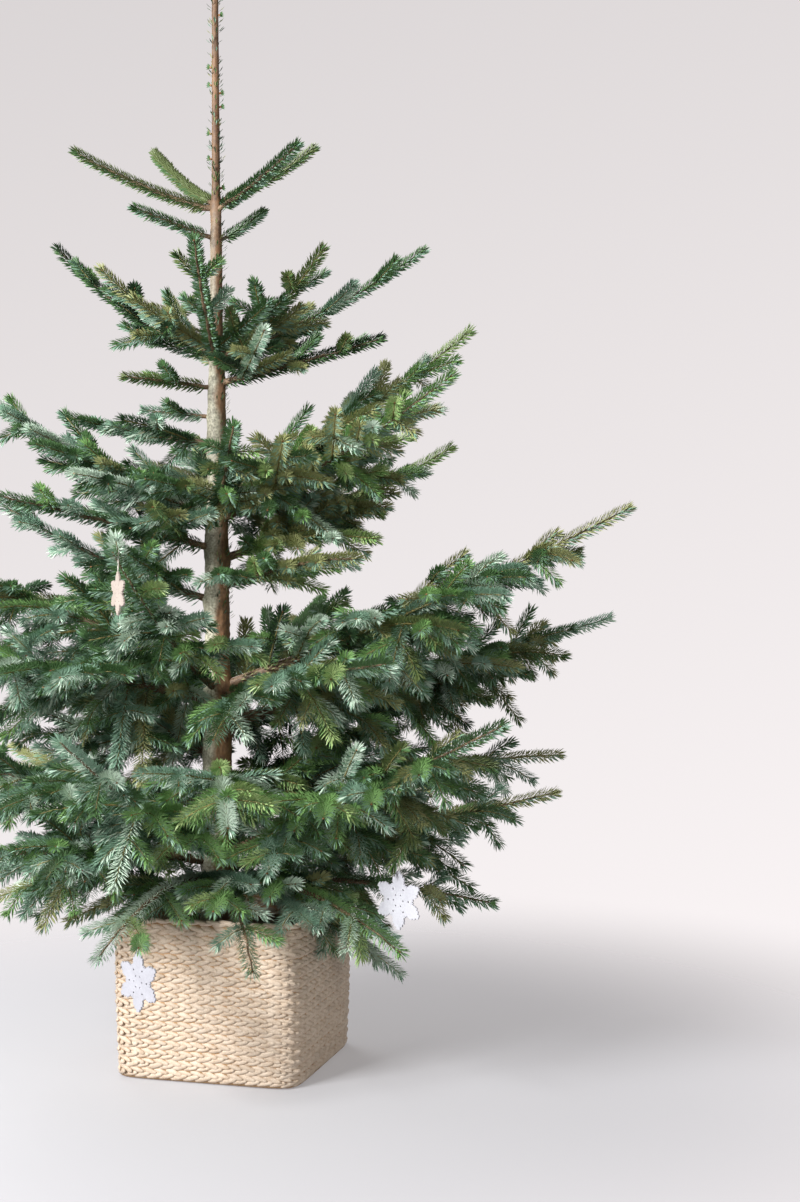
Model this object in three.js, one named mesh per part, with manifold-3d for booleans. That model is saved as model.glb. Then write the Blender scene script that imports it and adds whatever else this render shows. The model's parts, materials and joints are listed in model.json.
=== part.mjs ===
// A fir grown as a Christmas tree, with its trunk standing in a square woven basket.
// Millimetres, +Z up. The origin is the middle of the basket's flat underside, +X is to the
// right in the usual view and +Y points away from the viewer.
import * as THREE from 'three';
import { mergeVertices } from 'three/addons/utils/BufferGeometryUtils.js';
import Module from 'manifold-3d';

const wasm = await Module();
wasm.setup();

// Driving dimensions
const clearance = 0.35;
const basketSide = 415;
const basketHeight = 322;
const basketTurn = -15;
const basketWall = 11;
const basketRings = 4;
const basketFootShare = 0.965;
const basketSquareness = 10;
const basketCorners = 16;
const cornerPull = 0.235;
const rimHeight = 12;
const rimProud = 3;
const rimInset = 1;
const rimBevel = 1.5;
const fillTop = 285;
const fillEdgeDrop = 14;
const fillFlatRadius = 104;
const trunkPlace = new THREE.Vector2(-44, 25);
const trunkLean = -6;
const trunkSides = 14;
const treeTop = 2395;
const trunkGirth = [
  [fillTop, 78], [310, 69], [458, 65], [736, 61], [800, 55], [1086, 50], [1189, 43],
  [1384, 39], [1518, 29], [1641, 26.5], [1775, 23], [1850, 18], [2276, 14.4], [treeTop, 9],
];

// A limb is thicker the further its bough reaches, and thins to the end of the stem in its foliage
const limbThinnest = 3.4;
const limbPerReach = 0.0105;
const limbSides = 7;
const limbSteps = 3;
const stemEndRadius = 2.6;
const stemShare = 0.8;
const stemSides = 4;
const longStem = 400;
const shortBase = 0.3;

// A spray of needles is a flat toothed blade. Its shares are of its length or of its width
const bladeWidth = 60;
const bladeHalfThick = 3.2;
const bladeLift = 19;
const bladeRowLength = 100;
const bladeOverlap = 0.04;
const widestPerLength = 0.5;
const firstRow = 0.07;
const rowsShare = 0.8;
const valleyShare = 0.24;
const valleyLift = 0.3;
const toothLean = 0.02;
const rootSwell = [0.3, 3];
const tipSwell = [2.5, -1.9];

// Twigs fork in pairs, and a long one carries a pair of its own
const longTwig = 330;
const twigSides = 3;
const twigRadii = [4.2, 2.4];
const twigShare = 0.66;
const twigBladeStart = 0.58;
const twigFork = 0.42;
const twigForkReach = 0.95;
const forkAngle = 48;
const forkSpread = 8;
const forkMargin = 0.06;
const onlyFork = 0.45;
const lateralShare = 0.62;
const lateralSpread = [0.9, 0.25];
const flatten = 0.55;
const hangSpread = [-0.04, 0.1];
const tries = [[0, 1], [12, 1], [-12, 1], [22, 0.8], [0, 0.6]];
const nearest = 0.5;
const foliageSeed = 20;
const smallest = 0.62;

// Each bough: its whorl and side, the height of its root, its turn from +X towards +Y, how far it
// reaches and rises, how steeply it sets out, how many pairs of side twigs fork from it, and where
// its bare limb ends, if it has a limb of its own
const boughs = [
  { name: '1_left', height: 1822, turn: 182, reach: 298, rise: 122, lift: 70, forks: 0 },
  { name: '1_back_left', height: 1834, turn: 128, reach: 258, rise: 162, lift: 110, forks: 0 },
  { name: '1_front_right', height: 1822, turn: -38, reach: 230, rise: 101, lift: 70, forks: 0 },
  { name: '1_right', height: 1838, turn: 22, reach: 218, rise: 136, lift: 90, forks: 0 },
  { name: '1_low_left', height: 1758, turn: 200, reach: 174, rise: 55, lift: 55, forks: 0 },
  { name: '1_low_right', height: 1754, turn: 40, reach: 118, rise: 80, lift: 60, forks: 0 },
  { name: '2_left', height: 1516, turn: 168, reach: 362, rise: 236, lift: 90, forks: 2 },
  { name: '2_right', height: 1502, turn: 8, reach: 447, rise: 243, lift: 160, forks: 2 },
  { name: '2_front_right', height: 1448, turn: -24, reach: 385, rise: 72, lift: 60, forks: 2 },
  { name: '2_front', height: 1492, turn: -92, reach: 305, rise: 198, lift: 120, forks: 2 },
  { name: '2_back_left', height: 1486, turn: 116, reach: 330, rise: 200, lift: 150, forks: 2 },
  { name: '2_back_right', height: 1476, turn: 60, reach: 300, rise: 150, lift: 120, forks: 1 },
  { name: '2_low_left', height: 1438, turn: 205, reach: 196, rise: 14, lift: 20, forks: 1 },
  { name: '2_lowest_left', height: 1376, turn: 188, reach: 150, rise: 12, lift: 10, forks: 1 },
  { name: '3_high_left', height: 1318, turn: 178, reach: 322, rise: 60, lift: 30, forks: 2 },
  { name: '3_left', height: 1156, turn: 186, reach: 520, rise: 280, lift: 190, forks: 3 },
  { name: '3_front_left', height: 1090, turn: 212, reach: 480, rise: 100, lift: 110, forks: 2 },
  { name: '3_right', height: 1198, turn: 22, reach: 594, rise: 396, lift: 300, forks: 3 },
  {
    name: '3_front_right', height: 1152, turn: -32, reach: 582, rise: 270, lift: 190, forks: 3,
    bare: 0.2,
  },
  { name: '3_front', height: 1168, turn: -79, reach: 370, rise: 148, lift: 110, forks: 2 },
  { name: '3_back', height: 1166, turn: 102, reach: 480, rise: 200, lift: 150, forks: 3 },
  { name: '3_low_right', height: 1066, turn: 12, reach: 512, rise: 250, lift: 190, forks: 3 },
  { name: '3_low_front', height: 1004, turn: -46, reach: 440, rise: 60, lift: 120, forks: 2 },
  { name: '3_low_left', height: 978, turn: 194, reach: 480, rise: 224, lift: 130, forks: 2 },
  { name: '4_right', height: 792, turn: -6, reach: 874, rise: 380, lift: 300, forks: 4, bare: 0.24 },
  {
    name: '4_back_right', height: 716, turn: 20, reach: 935, rise: 222, lift: 190, forks: 4,
    bare: 0.24,
  },
  {
    name: '4_front_right', height: 770, turn: -54, reach: 620, rise: 92, lift: 120, forks: 3,
    bare: 0.22,
  },
  {
    name: '4_front_left', height: 786, turn: -105, reach: 530, rise: 282, lift: 200, forks: 3,
    bare: 0.24,
  },
  { name: '4_left', height: 764, turn: 206, reach: 700, rise: 125, lift: 170, forks: 3, bare: 0.24 },
  {
    name: '4_far_left', height: 828, turn: 170, reach: 800, rise: 290, lift: 290, forks: 3,
    bare: 0.24,
  },
  { name: '4_back', height: 742, turn: 74, reach: 700, rise: 240, lift: 240, forks: 3 },
  { name: '4_back_left', height: 640, turn: 134, reach: 760, rise: 190, lift: 180, forks: 3 },
  {
    name: '5_front_right', height: 428, turn: -44, reach: 800, rise: 322, lift: 300, forks: 4,
    bare: 0.24,
  },
  { name: '5_right', height: 404, turn: 2, reach: 724, rise: 158, lift: 150, forks: 3, bare: 0.24 },
  { name: '5_front', height: 586, turn: -82, reach: 620, rise: -12, lift: 150, forks: 3 },
  {
    name: '5_front_left', height: 430, turn: -112, reach: 600, rise: 290, lift: 230, forks: 3,
    bare: 0.24,
  },
  { name: '5_left', height: 418, turn: 220, reach: 700, rise: 70, lift: 150, forks: 3 },
  {
    name: '5_far_left', height: 536, turn: 188, reach: 760, rise: 110, lift: 150, forks: 3,
    bare: 0.24,
  },
  { name: '5_back_right', height: 548, turn: 28, reach: 870, rise: 62, lift: 130, forks: 3 },
  { name: '5_back', height: 500, turn: 66, reach: 720, rise: 150, lift: 170, forks: 3 },
  { name: '5_back_left', height: 440, turn: 138, reach: 740, rise: 180, lift: 180, forks: 3 },
  { name: '6_front_left', height: 374, turn: 250, reach: 500, rise: -62, lift: 140, forks: 2 },
  { name: '6_front', height: 370, turn: -76, reach: 480, rise: -85, lift: 140, forks: 2 },
  { name: '6_front_right', height: 372, turn: -50, reach: 610, rise: -50, lift: 140, forks: 2 },
  { name: '6_right', height: 366, turn: -22, reach: 620, rise: 5, lift: 110, forks: 2 },
];

const up = new THREE.Vector3(0, 0, 1);
const radians = THREE.MathUtils.degToRad;
const tree = new THREE.Group();

function seeded(seed) {
  return () => {
    seed = (seed + 0x6d2b79f5) >>> 0;
    let mixed = Math.imul(seed ^ (seed >>> 15), seed | 1);
    mixed ^= mixed + Math.imul(mixed ^ (mixed >>> 7), mixed | 61);
    return ((mixed ^ (mixed >>> 14)) >>> 0) / 4294967296;
  };
}

// Solids from geometries and back
function solidOf(geometry) {
  const bare = new THREE.BufferGeometry();
  bare.setAttribute('position', geometry.getAttribute('position'));
  bare.setIndex(geometry.getIndex());
  const merged = mergeVertices(bare, 1e-3);
  const corners = merged.getIndex().array;
  const kept = [];
  for (let i = 0; i < corners.length; i += 3) {
    const [a, b, c] = corners.slice(i, i + 3);
    if (a !== b && b !== c && c !== a) kept.push(a, b, c);
  }
  return new wasm.Manifold(new wasm.Mesh({
    numProp: 3,
    vertProperties: merged.getAttribute('position').array,
    triVerts: Uint32Array.from(kept),
  }));
}

function geometryOf(solid) {
  const mesh = solid.getMesh();
  const geometry = new THREE.BufferGeometry();
  geometry.setAttribute('position', new THREE.BufferAttribute(mesh.vertProperties, 3));
  geometry.setIndex(new THREE.BufferAttribute(mesh.triVerts, 1));
  return geometry;
}

function addNode(name, solid, material) {
  const mesh = new THREE.Mesh(geometryOf(solid), material);
  mesh.name = name;
  tree.add(mesh);
}

// Two directions square to a heading: level to the side, and upwards
function sideAndTop(heading) {
  const side = up.clone().cross(heading).normalize();
  return { side, top: heading.clone().cross(side) };
}

// A tapering round tube along part of a curve, with flat ends
function tubeAlong(curve, from, to, startRadius, endRadius, sides, steps) {
  const tube = new THREE.CylinderGeometry(1, 1, 1, sides, steps, false, Math.PI / sides);
  const place = tube.getAttribute('position');
  for (let i = 0; i < place.count; i += 1) {
    const share = place.getY(i) + 0.5;
    const along = from + (to - from) * share;
    const radius = startRadius + (endRadius - startRadius) * share;
    const { side, top } = sideAndTop(curve.getTangent(along));
    const point = curve.getPoint(along);
    point.addScaledVector(top, place.getX(i) * radius);
    point.addScaledVector(side, place.getZ(i) * radius);
    place.setXYZ(i, point.x, point.y, point.z);
  }
  return tube;
}

// A spray of needles: a flat toothed blade with a ridge above and below, pointed at both ends
function bladeAlong(curve, from, to, width, rows) {
  const points = [];
  const faces = [];
  const place = (share, sideways, upwards) => {
    const along = from + (to - from) * share;
    const { side, top } = sideAndTop(curve.getTangent(along));
    const point = curve.getPoint(along);
    point.addScaledVector(side, sideways).addScaledVector(top, upwards);
    points.push(point.x, point.y, point.z);
    return points.length / 3 - 1;
  };
  const line = ([start, slope], share) => start + slope * share;
  const swell = (share) => Math.min(1, line(rootSwell, share), line(tipSwell, share));
  const root = place(0, 0, 0);
  const stations = [];
  for (let row = 0; row < rows; row += 1) {
    const share = firstRow + (rowsShare * row) / (rows - 1);
    const valley = valleyShare * width * swell(share);
    stations.push({
      share,
      left: place(share, valley, valleyLift * bladeLift),
      right: place(share, -valley, valleyLift * bladeLift),
      top: place(share, 0, bladeHalfThick),
      bottom: place(share, 0, -bladeHalfThick),
    });
  }
  const tip = place(1, 0, 0);
  for (const [edge, ridge, hand] of [
    ['left', 'top', 1], ['right', 'top', -1], ['left', 'bottom', -1], ['right', 'bottom', 1],
  ]) {
    const face = (a, b, c) => faces.push(...(hand > 0 ? [a, b, c] : [a, c, b]));
    face(root, stations[0][ridge], stations[0][edge]);
    for (let row = 0; row + 1 < rows; row += 1) {
      const near = stations[row];
      const far = stations[row + 1];
      const reach = (width / 2) * swell(far.share) * (edge === 'left' ? 1 : -1);
      far[`${edge}Tooth`] ??= place(far.share - toothLean, reach, bladeLift);
      const tooth = far[`${edge}Tooth`];
      face(far[ridge], far[edge], tooth);
      face(far[ridge], tooth, near[edge]);
      face(far[ridge], near[edge], near[ridge]);
    }
    const last = stations[rows - 1];
    face(last[ridge], tip, last[edge]);
  }
  const geometry = new THREE.BufferGeometry();
  geometry.setAttribute('position', new THREE.Float32BufferAttribute(points, 3));
  geometry.setIndex(faces);
  return geometry;
}

// The trunk: whole from its flat cut to its tip
function trunkCentre(height) {
  const share = (height - fillTop) / (treeTop - fillTop);
  return new THREE.Vector3(trunkPlace.x + trunkLean * share * share, trunkPlace.y, height);
}

function trunkGeometry(grow) {
  const rings = trunkGirth.length - 1;
  const trunk = new THREE.CylinderGeometry(1, 1, 1, trunkSides, rings);
  const place = trunk.getAttribute('position');
  for (let i = 0; i < place.count; i += 1) {
    const [height, girth] = trunkGirth[Math.round((place.getY(i) + 0.5) * rings)];
    const centre = trunkCentre(height);
    const radius = girth / 2 + grow;
    centre.x += place.getX(i) * radius;
    centre.y -= place.getZ(i) * radius;
    place.setXYZ(i, centre.x, centre.y, centre.z);
  }
  return trunk;
}

// The basket, its rim and its fill are turned profiles pulled out to a soft square
function softSquare(profile) {
  const points = profile.map(([radius, height]) => new THREE.Vector2(radius, height));
  const turned = new THREE.LatheGeometry(points, basketCorners);
  turned.rotateX(Math.PI / 2);
  const place = turned.getAttribute('position');
  for (let i = 0; i < place.count; i += 1) {
    const [x, y] = [place.getX(i), place.getY(i)];
    const angle = Math.atan2(y, x);
    const pulled = angle + cornerPull * Math.sin(4 * angle);
    const [across, along] = [Math.cos(pulled), Math.sin(pulled)];
    const power = basketSquareness;
    const square = (Math.abs(across) ** power + Math.abs(along) ** power) ** (-1 / power);
    const radius = Math.hypot(x, y) * square;
    const turn = pulled + radians(basketTurn);
    place.setXYZ(i, radius * Math.cos(turn), radius * Math.sin(turn), place.getZ(i));
  }
  return turned;
}

function wallRadius(height) {
  const share = Math.sin((height / basketHeight) * (Math.PI / 2));
  return (basketSide / 2) * (basketFootShare + (1 - basketFootShare) * share);
}

function basketProfile() {
  const profile = [[0, 0]];
  for (let ring = 0; ring <= basketRings; ring += 1) {
    const height = (ring * basketHeight) / basketRings;
    profile.push([wallRadius(height), height]);
  }
  const inside = (height) => wallRadius(height) - basketWall;
  profile.push([inside(basketHeight), basketHeight]);
  profile.push([inside(basketWall), basketWall], [0, basketWall]);
  return profile;
}

function rimProfile() {
  const outer = wallRadius(basketHeight) + rimProud;
  const inner = wallRadius(basketHeight) - basketWall - rimInset;
  const middle = (outer + inner) / 2;
  const [low, high] = [basketHeight + clearance, basketHeight + rimHeight];
  const waist = (low + high) / 2;
  return [
    [inner + rimBevel, low], [outer - rimBevel, low], [outer, waist], [middle, high],
    [inner, waist], [inner + rimBevel, low],
  ];
}

function fillProfile() {
  const inside = (height) => wallRadius(height) - basketWall - clearance;
  const top = fillTop - clearance;
  const floor = basketWall + clearance;
  return [
    [0, floor], [inside(floor), floor], [inside(floor), top - fillEdgeDrop],
    [fillFlatRadius, top], [0, top],
  ];
}

// Boughs
function boughCurve({ height, turn, reach, rise, lift }) {
  const out = new THREE.Vector3(Math.cos(radians(turn)), Math.sin(radians(turn)), 0);
  const root = trunkCentre(height);
  const bend = root.clone().addScaledVector(out, reach / 2).addScaledVector(up, lift / 2);
  const tip = root.clone().addScaledVector(out, reach).addScaledVector(up, rise);
  return new THREE.QuadraticBezierCurve3(root, bend, tip);
}

function twigCurve(base, heading, length, hang) {
  const middle = base.clone().addScaledVector(heading, length / 2);
  const tip = base.clone().addScaledVector(heading, length).addScaledVector(up, -hang);
  return new THREE.QuadraticBezierCurve3(base, middle, tip);
}

// A side twig's heading: turned to one side of its stem's and flatter, with a tilt up or down
function sideHeading(heading, angle, tilt) {
  const { side } = sideAndTop(heading);
  const level = heading.clone().setZ(heading.z * flatten);
  const turned = level.multiplyScalar(Math.cos(angle)).addScaledVector(side, Math.sin(angle));
  turned.normalize();
  turned.z += Math.tan(tilt);
  return turned.normalize();
}

function radiusAt(bough, share) {
  const root = limbThinnest + limbPerReach * bough.reach;
  return root + (stemEndRadius - root) * (share / stemShare);
}

function bladeSolid(curve, from, to) {
  const length = curve.getLength() * (to - from);
  const rows = THREE.MathUtils.clamp(Math.round(length / bladeRowLength) + 1, 2, 4);
  const width = Math.min(bladeWidth, widestPerLength * length);
  return solidOf(bladeAlong(curve, from, to, width, rows));
}

function touches(solid, others) {
  const box = solid.boundingBox();
  return others.some((other) => {
    for (let axis = 0; axis < 3; axis += 1) {
      if (box.min[axis] > other.box.max[axis] + nearest) return false;
      if (box.max[axis] < other.box.min[axis] - nearest) return false;
    }
    return solid.minGap(other.solid, nearest) < nearest;
  });
}

// Each piece that is placed belongs to one node, and no later piece of another node may touch it
const placed = [];
function keep(owner, solid) {
  placed.push({ owner, solid, box: solid.boundingBox() });
}

function keepIfClear(owner, solid) {
  const others = placed.filter((piece) => piece.owner !== owner);
  if (touches(solid, others)) return false;
  keep(owner, solid);
  return true;
}

const between = ([low, spread], chance) => low + spread * chance;

// A twig is tried level, then tilted up and down, then shorter, and is else left out
function growTwig(owner, base, heading, angle, length, random) {
  for (const [tilt, part] of tries) {
    const way = sideHeading(heading, radians(angle), radians(tilt));
    const size = length * part;
    const curve = twigCurve(base, way, size, size * between(hangSpread, random()));
    if (size < longTwig) {
      if (keepIfClear(owner, bladeSolid(curve, 0, 1))) return;
    } else if (keepIfClear(owner, solidOf(tubeAlong(curve, 0, twigShare, ...twigRadii, twigSides, 1)))) {
      growForks(owner, curve, [twigFork], size * twigForkReach, random);
      keepIfClear(owner, bladeSolid(curve, twigBladeStart, 1));
      return;
    }
  }
}

function growForks(owner, curve, shares, length, random) {
  for (const share of shares) {
    for (const hand of [1, -1]) {
      const angle = hand * (forkAngle + forkSpread * (random() - 0.5));
      const size = length * (1 - share) * lateralShare * between(lateralSpread, random());
      growTwig(owner, curve.getPoint(share), curve.getTangent(share), angle, size, random);
    }
  }
}

// The shares of a stem's length where its pairs of side twigs fork
function forkShares({ bare = 0, forks }) {
  if (forks === 1) return [onlyFork];
  const first = Math.max(bare, 0.1) + forkMargin;
  const step = (stemShare - forkMargin / 2 - first) / (forks - 1);
  return Array.from({ length: forks }, (_, fork) => first + step * fork);
}

// A bough is a limb up to where its foliage begins, if it has one of its own, and then a stem
function growStem(bough) {
  const curve = boughCurve(bough);
  const owner = `foliage_${bough.name}`;
  const bare = bough.bare ?? 0;
  if (bare > 0) {
    const radii = [radiusAt(bough, 0), radiusAt(bough, bare)];
    const limb = solidOf(tubeAlong(curve, 0, bare, ...radii, limbSides, limbSteps));
    keep(`bough_${bough.name}`, limb.subtract(trunkSkin));
  }
  const single = bough.forks === 0;
  const start = bare > 0 ? bare + clearance / curve.getLength() : 0;
  const end = single ? shortBase : stemShare;
  const steps = bough.reach > longStem ? 2 : 1;
  const radii = [radiusAt(bough, start), stemEndRadius];
  const stem = solidOf(tubeAlong(curve, start, end, ...radii, stemSides, steps));
  keep(owner, stem.subtract(trunkSkin));
  keep(owner, bladeSolid(curve, single ? shortBase / 2 : end - bladeOverlap, 1));
}

function growFoliage(bough, random) {
  if (bough.forks === 0) return;
  growForks(`foliage_${bough.name}`, boughCurve(bough), forkShares(bough), bough.reach, random);
}

const bark = new THREE.MeshStandardMaterial({ color: 0x9a8a74, roughness: 0.9 });
const limbBark = new THREE.MeshStandardMaterial({ color: 0x7a5c42, roughness: 0.9 });
const needles = new THREE.MeshStandardMaterial({ color: 0x5b7f5a, roughness: 0.7 });
const straw = new THREE.MeshStandardMaterial({ color: 0xd0b088, roughness: 0.85 });
const mulch = new THREE.MeshStandardMaterial({ color: 0x5a4432, roughness: 1 });

const trunk = solidOf(trunkGeometry(0));
const trunkSkin = solidOf(trunkGeometry(clearance));
keep('basket', solidOf(softSquare(basketProfile())));
keep('basket_rim', solidOf(softSquare(rimProfile())));
keep('bark_fill', solidOf(softSquare(fillProfile())));
keep('trunk', trunk);

// All stems come before any side twig, so that no twig runs through a neighbour's stem
boughs.forEach(growStem);
const random = seeded(foliageSeed);
boughs.forEach((bough) => growFoliage(bough, random));

// Pieces of one node are joined, and a scrap that hangs loose is dropped
const looks = { basket: straw, basket_rim: straw, bark_fill: mulch, trunk: bark };
const owners = [...new Set(placed.map((piece) => piece.owner))];
for (const owner of owners) {
  const pieces = placed.filter((piece) => piece.owner === owner).map((piece) => piece.solid);
  const bodies = wasm.Manifold.union(pieces).decompose();
  const whole = bodies.sort((a, b) => b.volume() - a.volume())[0].simplify(smallest);
  addNode(owner, whole, looks[owner] ?? (owner.startsWith('bough') ? limbBark : needles));
}

export default tree;
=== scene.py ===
"""A cut fir tree in a woven straw basket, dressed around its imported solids."""
import itertools
import json
import math
from collections import namedtuple

import bpy
import numpy as np
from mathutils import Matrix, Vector, noise

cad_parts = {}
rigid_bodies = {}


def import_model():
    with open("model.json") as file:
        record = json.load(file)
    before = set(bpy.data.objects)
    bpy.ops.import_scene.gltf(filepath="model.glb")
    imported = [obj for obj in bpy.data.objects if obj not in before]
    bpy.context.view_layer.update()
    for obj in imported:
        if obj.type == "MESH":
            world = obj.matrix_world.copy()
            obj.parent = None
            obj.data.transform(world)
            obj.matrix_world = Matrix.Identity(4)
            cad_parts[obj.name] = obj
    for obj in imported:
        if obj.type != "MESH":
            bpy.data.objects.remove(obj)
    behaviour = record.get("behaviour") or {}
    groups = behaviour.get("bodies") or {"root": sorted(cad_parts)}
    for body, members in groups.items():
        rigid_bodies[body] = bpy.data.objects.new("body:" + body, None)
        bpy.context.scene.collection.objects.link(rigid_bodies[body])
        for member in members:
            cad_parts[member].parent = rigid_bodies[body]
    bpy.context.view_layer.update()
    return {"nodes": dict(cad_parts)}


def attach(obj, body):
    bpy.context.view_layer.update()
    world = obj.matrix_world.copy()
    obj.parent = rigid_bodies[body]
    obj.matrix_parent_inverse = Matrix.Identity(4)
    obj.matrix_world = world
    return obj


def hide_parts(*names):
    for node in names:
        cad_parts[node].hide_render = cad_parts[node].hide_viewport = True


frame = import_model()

MM = 0.001
UP = np.array([0.0, 0.0, 1.0])
TAU = 2 * math.pi

# The photograph's view: a level camera that looks along +Y
CAMERA_PLACE = (0.3496, -3.575, 0.98)
CAMERA_LENS = 50
CAMERA_SENSOR = 36

# The backdrop's brightness and how it falls off, and the soft light that everything gets
BACKDROP = 0.855
BACKDROP_FALL = (0.1, 0.0, -0.38)
AMBIENT = 0.36
GLOW_COLOUR = (1, 0.95, 0.955, 1)
# The floor lets this share of light through up to FLOOR_SOLID, and all of it near its rim; the backdrop
# seen through it is painted light that lifts the floor's shadows
FLOOR_RADIUS = 2.3
FLOOR_SOLID = 0.75
FLOOR_BACKDROP_GLOW = 0.25
FLOOR_EDGE = 0.1
FLOOR_SIDES = 96
# Each lamp's name, place, aim, size and power
LAMPS = (
    ("window", (-3.0, -3.0, 2.8), (0, 0, 0.9), 2.0, 490),
    ("back_window", (-1.5, 3.2, 3.0), (0, 0, 1.0), 2.0, 90),
    ("fill", (3.4, -2.6, 1.6), (0, 0, 0.9), 2.2, 36),
)

# Ornaments: where each one's middle hangs, its size across, its turn and how far up its thread goes
Flake = namedtuple("Flake", "name place across turn thread")
FLAKES = (
    Flake("snowflake_front", (347, -353, 402), 112, -38, 40),
    Flake("snowflake_low", (-138, -463, 270), 112, -42, 16),
    Flake("snowflake_high", (-172, -487, 994), 80, -62, 40),
)
# One side of a lobe on a snowflake of radius 1: how far out along the lobe, and how far beside its middle
FLAKE_LOBE = ((0.5, 0.285), (0.55, 0.22), (0.63, 0.24), (0.71, 0.225), (0.8, 0.16), (0.9, 0.08), (1.0, 0.0))
FLAKE_STEPS = 49
FLAKE_STEP_TURN = 0.003
FLAKE_ARMS = 6
FLAKE_THICK = 3.2
FLAKE_SCALLOPS = 6
FLAKE_SCALLOP = 0.06
FLAKE_GAP = 0.97
FLAKE_HOLES = ((0.21, 0.034), (0.44, 0.04))
FLAKE_HOLE_SIDES = 8
FLAKE_BEVEL = 0.3
# No twig comes nearer than this in front or behind, or than this share of its size to the side
FLAKE_DEPTH_CLEAR = 30
FLAKE_SIDE_CLEAR = 0.6
THREAD_RADIUS = 0.55
THREAD_APART = 4.5
THREAD_SIDES = 5
THREAD_STEPS = 9
THREAD_SUNK = 2
THREAD_END = 3
# The twig that carries each ornament: how much it arches, and how far it goes past the thread
HOOK_ARCH = 0.12
HOOK_PAST = 28
HOOK_SHARES = (0.15, 0.95, 17)

# The trunk, in millimetres, by the source's rule
FILL_TOP = 285
TREE_TOP = 2395
TRUNK_PLACE = (-44, 25)
TRUNK_LEAN = -6
TRUNK_GIRTH = np.array([
    [285, 78], [310, 69], [458, 65], [736, 61], [800, 55], [1086, 50], [1189, 43],
    [1384, 39], [1518, 29], [1641, 26.5], [1775, 23], [1850, 18], [2276, 14.4], [2395, 9],
]) * [1, 0.5]
TRUNK_FOOT = FILL_TOP - 8
LEADER_FOOT = 1850

# The boughs, by the source's rule: reach and rise lead to the tip, and bare is the share without twigs
Bough = namedtuple("Bough", "name height turn reach rise lift forks bare")
BOUGHS = [Bough(*row) for row in (
    ("1_left", 1822, 182, 298, 122, 70, 0, 0),
    ("1_back_left", 1834, 128, 258, 162, 110, 0, 0),
    ("1_front_right", 1822, -38, 230, 101, 70, 0, 0),
    ("1_right", 1838, 22, 218, 136, 90, 0, 0),
    ("1_low_left", 1758, 200, 174, 55, 55, 0, 0),
    ("1_low_right", 1754, 40, 118, 80, 60, 0, 0),
    ("2_left", 1516, 168, 362, 236, 90, 2, 0),
    ("2_right", 1502, 8, 447, 243, 160, 2, 0),
    ("2_front_right", 1448, -24, 385, 72, 60, 2, 0),
    ("2_front", 1492, -92, 305, 198, 120, 2, 0),
    ("2_back_left", 1486, 116, 330, 200, 150, 2, 0),
    ("2_back_right", 1476, 60, 300, 150, 120, 1, 0),
    ("2_low_left", 1438, 205, 196, 14, 20, 1, 0),
    ("2_lowest_left", 1376, 188, 150, 12, 10, 1, 0),
    ("3_high_left", 1318, 178, 322, 60, 30, 2, 0),
    ("3_left", 1156, 186, 520, 280, 190, 3, 0),
    ("3_front_left", 1090, 212, 480, 100, 110, 2, 0),
    ("3_right", 1198, 22, 594, 396, 300, 3, 0),
    ("3_front_right", 1152, -32, 582, 270, 190, 3, 0.2),
    ("3_front", 1168, -79, 370, 148, 110, 2, 0),
    ("3_back", 1166, 102, 480, 200, 150, 3, 0),
    ("3_low_right", 1066, 12, 512, 250, 190, 3, 0),
    ("3_low_front", 1004, -46, 440, 60, 120, 2, 0),
    ("3_low_left", 978, 194, 480, 224, 130, 2, 0),
    ("4_right", 792, -6, 874, 380, 300, 4, 0.24),
    ("4_back_right", 716, 20, 935, 222, 190, 4, 0.24),
    ("4_front_right", 770, -54, 620, 92, 120, 3, 0.22),
    ("4_front_left", 786, -105, 530, 282, 200, 3, 0.24),
    ("4_left", 764, 206, 700, 125, 170, 3, 0.24),
    ("4_far_left", 828, 170, 800, 290, 290, 3, 0.24),
    ("4_back", 742, 74, 700, 240, 240, 3, 0),
    ("4_back_left", 640, 134, 760, 190, 180, 3, 0),
    ("5_front_right", 428, -44, 800, 322, 300, 4, 0.24),
    ("5_right", 404, 2, 724, 158, 150, 3, 0.24),
    ("5_front", 586, -82, 620, -12, 150, 3, 0),
    ("5_front_left", 430, -112, 600, 290, 230, 3, 0.24),
    ("5_left", 418, 220, 700, 70, 150, 3, 0),
    ("5_far_left", 536, 188, 760, 110, 150, 3, 0.24),
    ("5_back_right", 548, 28, 870, 62, 130, 3, 0),
    ("5_back", 500, 66, 720, 150, 170, 3, 0),
    ("5_back_left", 440, 138, 740, 180, 180, 3, 0),
    ("6_front_left", 374, 250, 500, -62, 140, 2, 0),
    ("6_front", 370, -76, 480, -85, 140, 2, 0),
    ("6_front_right", 372, -50, 610, -50, 140, 2, 0),
    ("6_right", 366, -22, 620, 5, 110, 2, 0),
)]
LIMB_THINNEST = 3.4
LIMB_PER_REACH = 0.0105
STEM_END_RADIUS = 2.6
STEM_TIP_RADIUS = 1.5
STEM_SHARE = 0.8
ONLY_FORK = 0.45
LEAST_BARE = 0.1
FORK_MARGIN = 0.06
FORK_ANGLE = math.radians(48)
FORK_SPREAD = math.radians(8)
LATERAL_SHARE = 0.62
FLATTEN = 0.55

# The finer growth, which only this script makes: a twig forks where each year's length ends
YEAR_STEP = 100
YEAR_SPREAD = 0.22
SHORTEST_TWIG = 46
NODE_CLEAR = 0.16
TILT_SPREAD = math.radians(14)
FORK_TILT = 0.6 * TILT_SPREAD
RISE_BY_TIER = {1: 0, 2: 17, 3: 8, 4: 5, 5: 0, 6: 0}
# How far a twig's tip hangs, for its length: the least and the spread
HANG_BY_TIER = {
    1: (-0.1, 0.06), 2: (-0.14, 0.12), 3: (-0.02, 0.18), 4: (0.08, 0.24), 5: (0.1, 0.26), 6: (0.05, 0.24),
}
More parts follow.
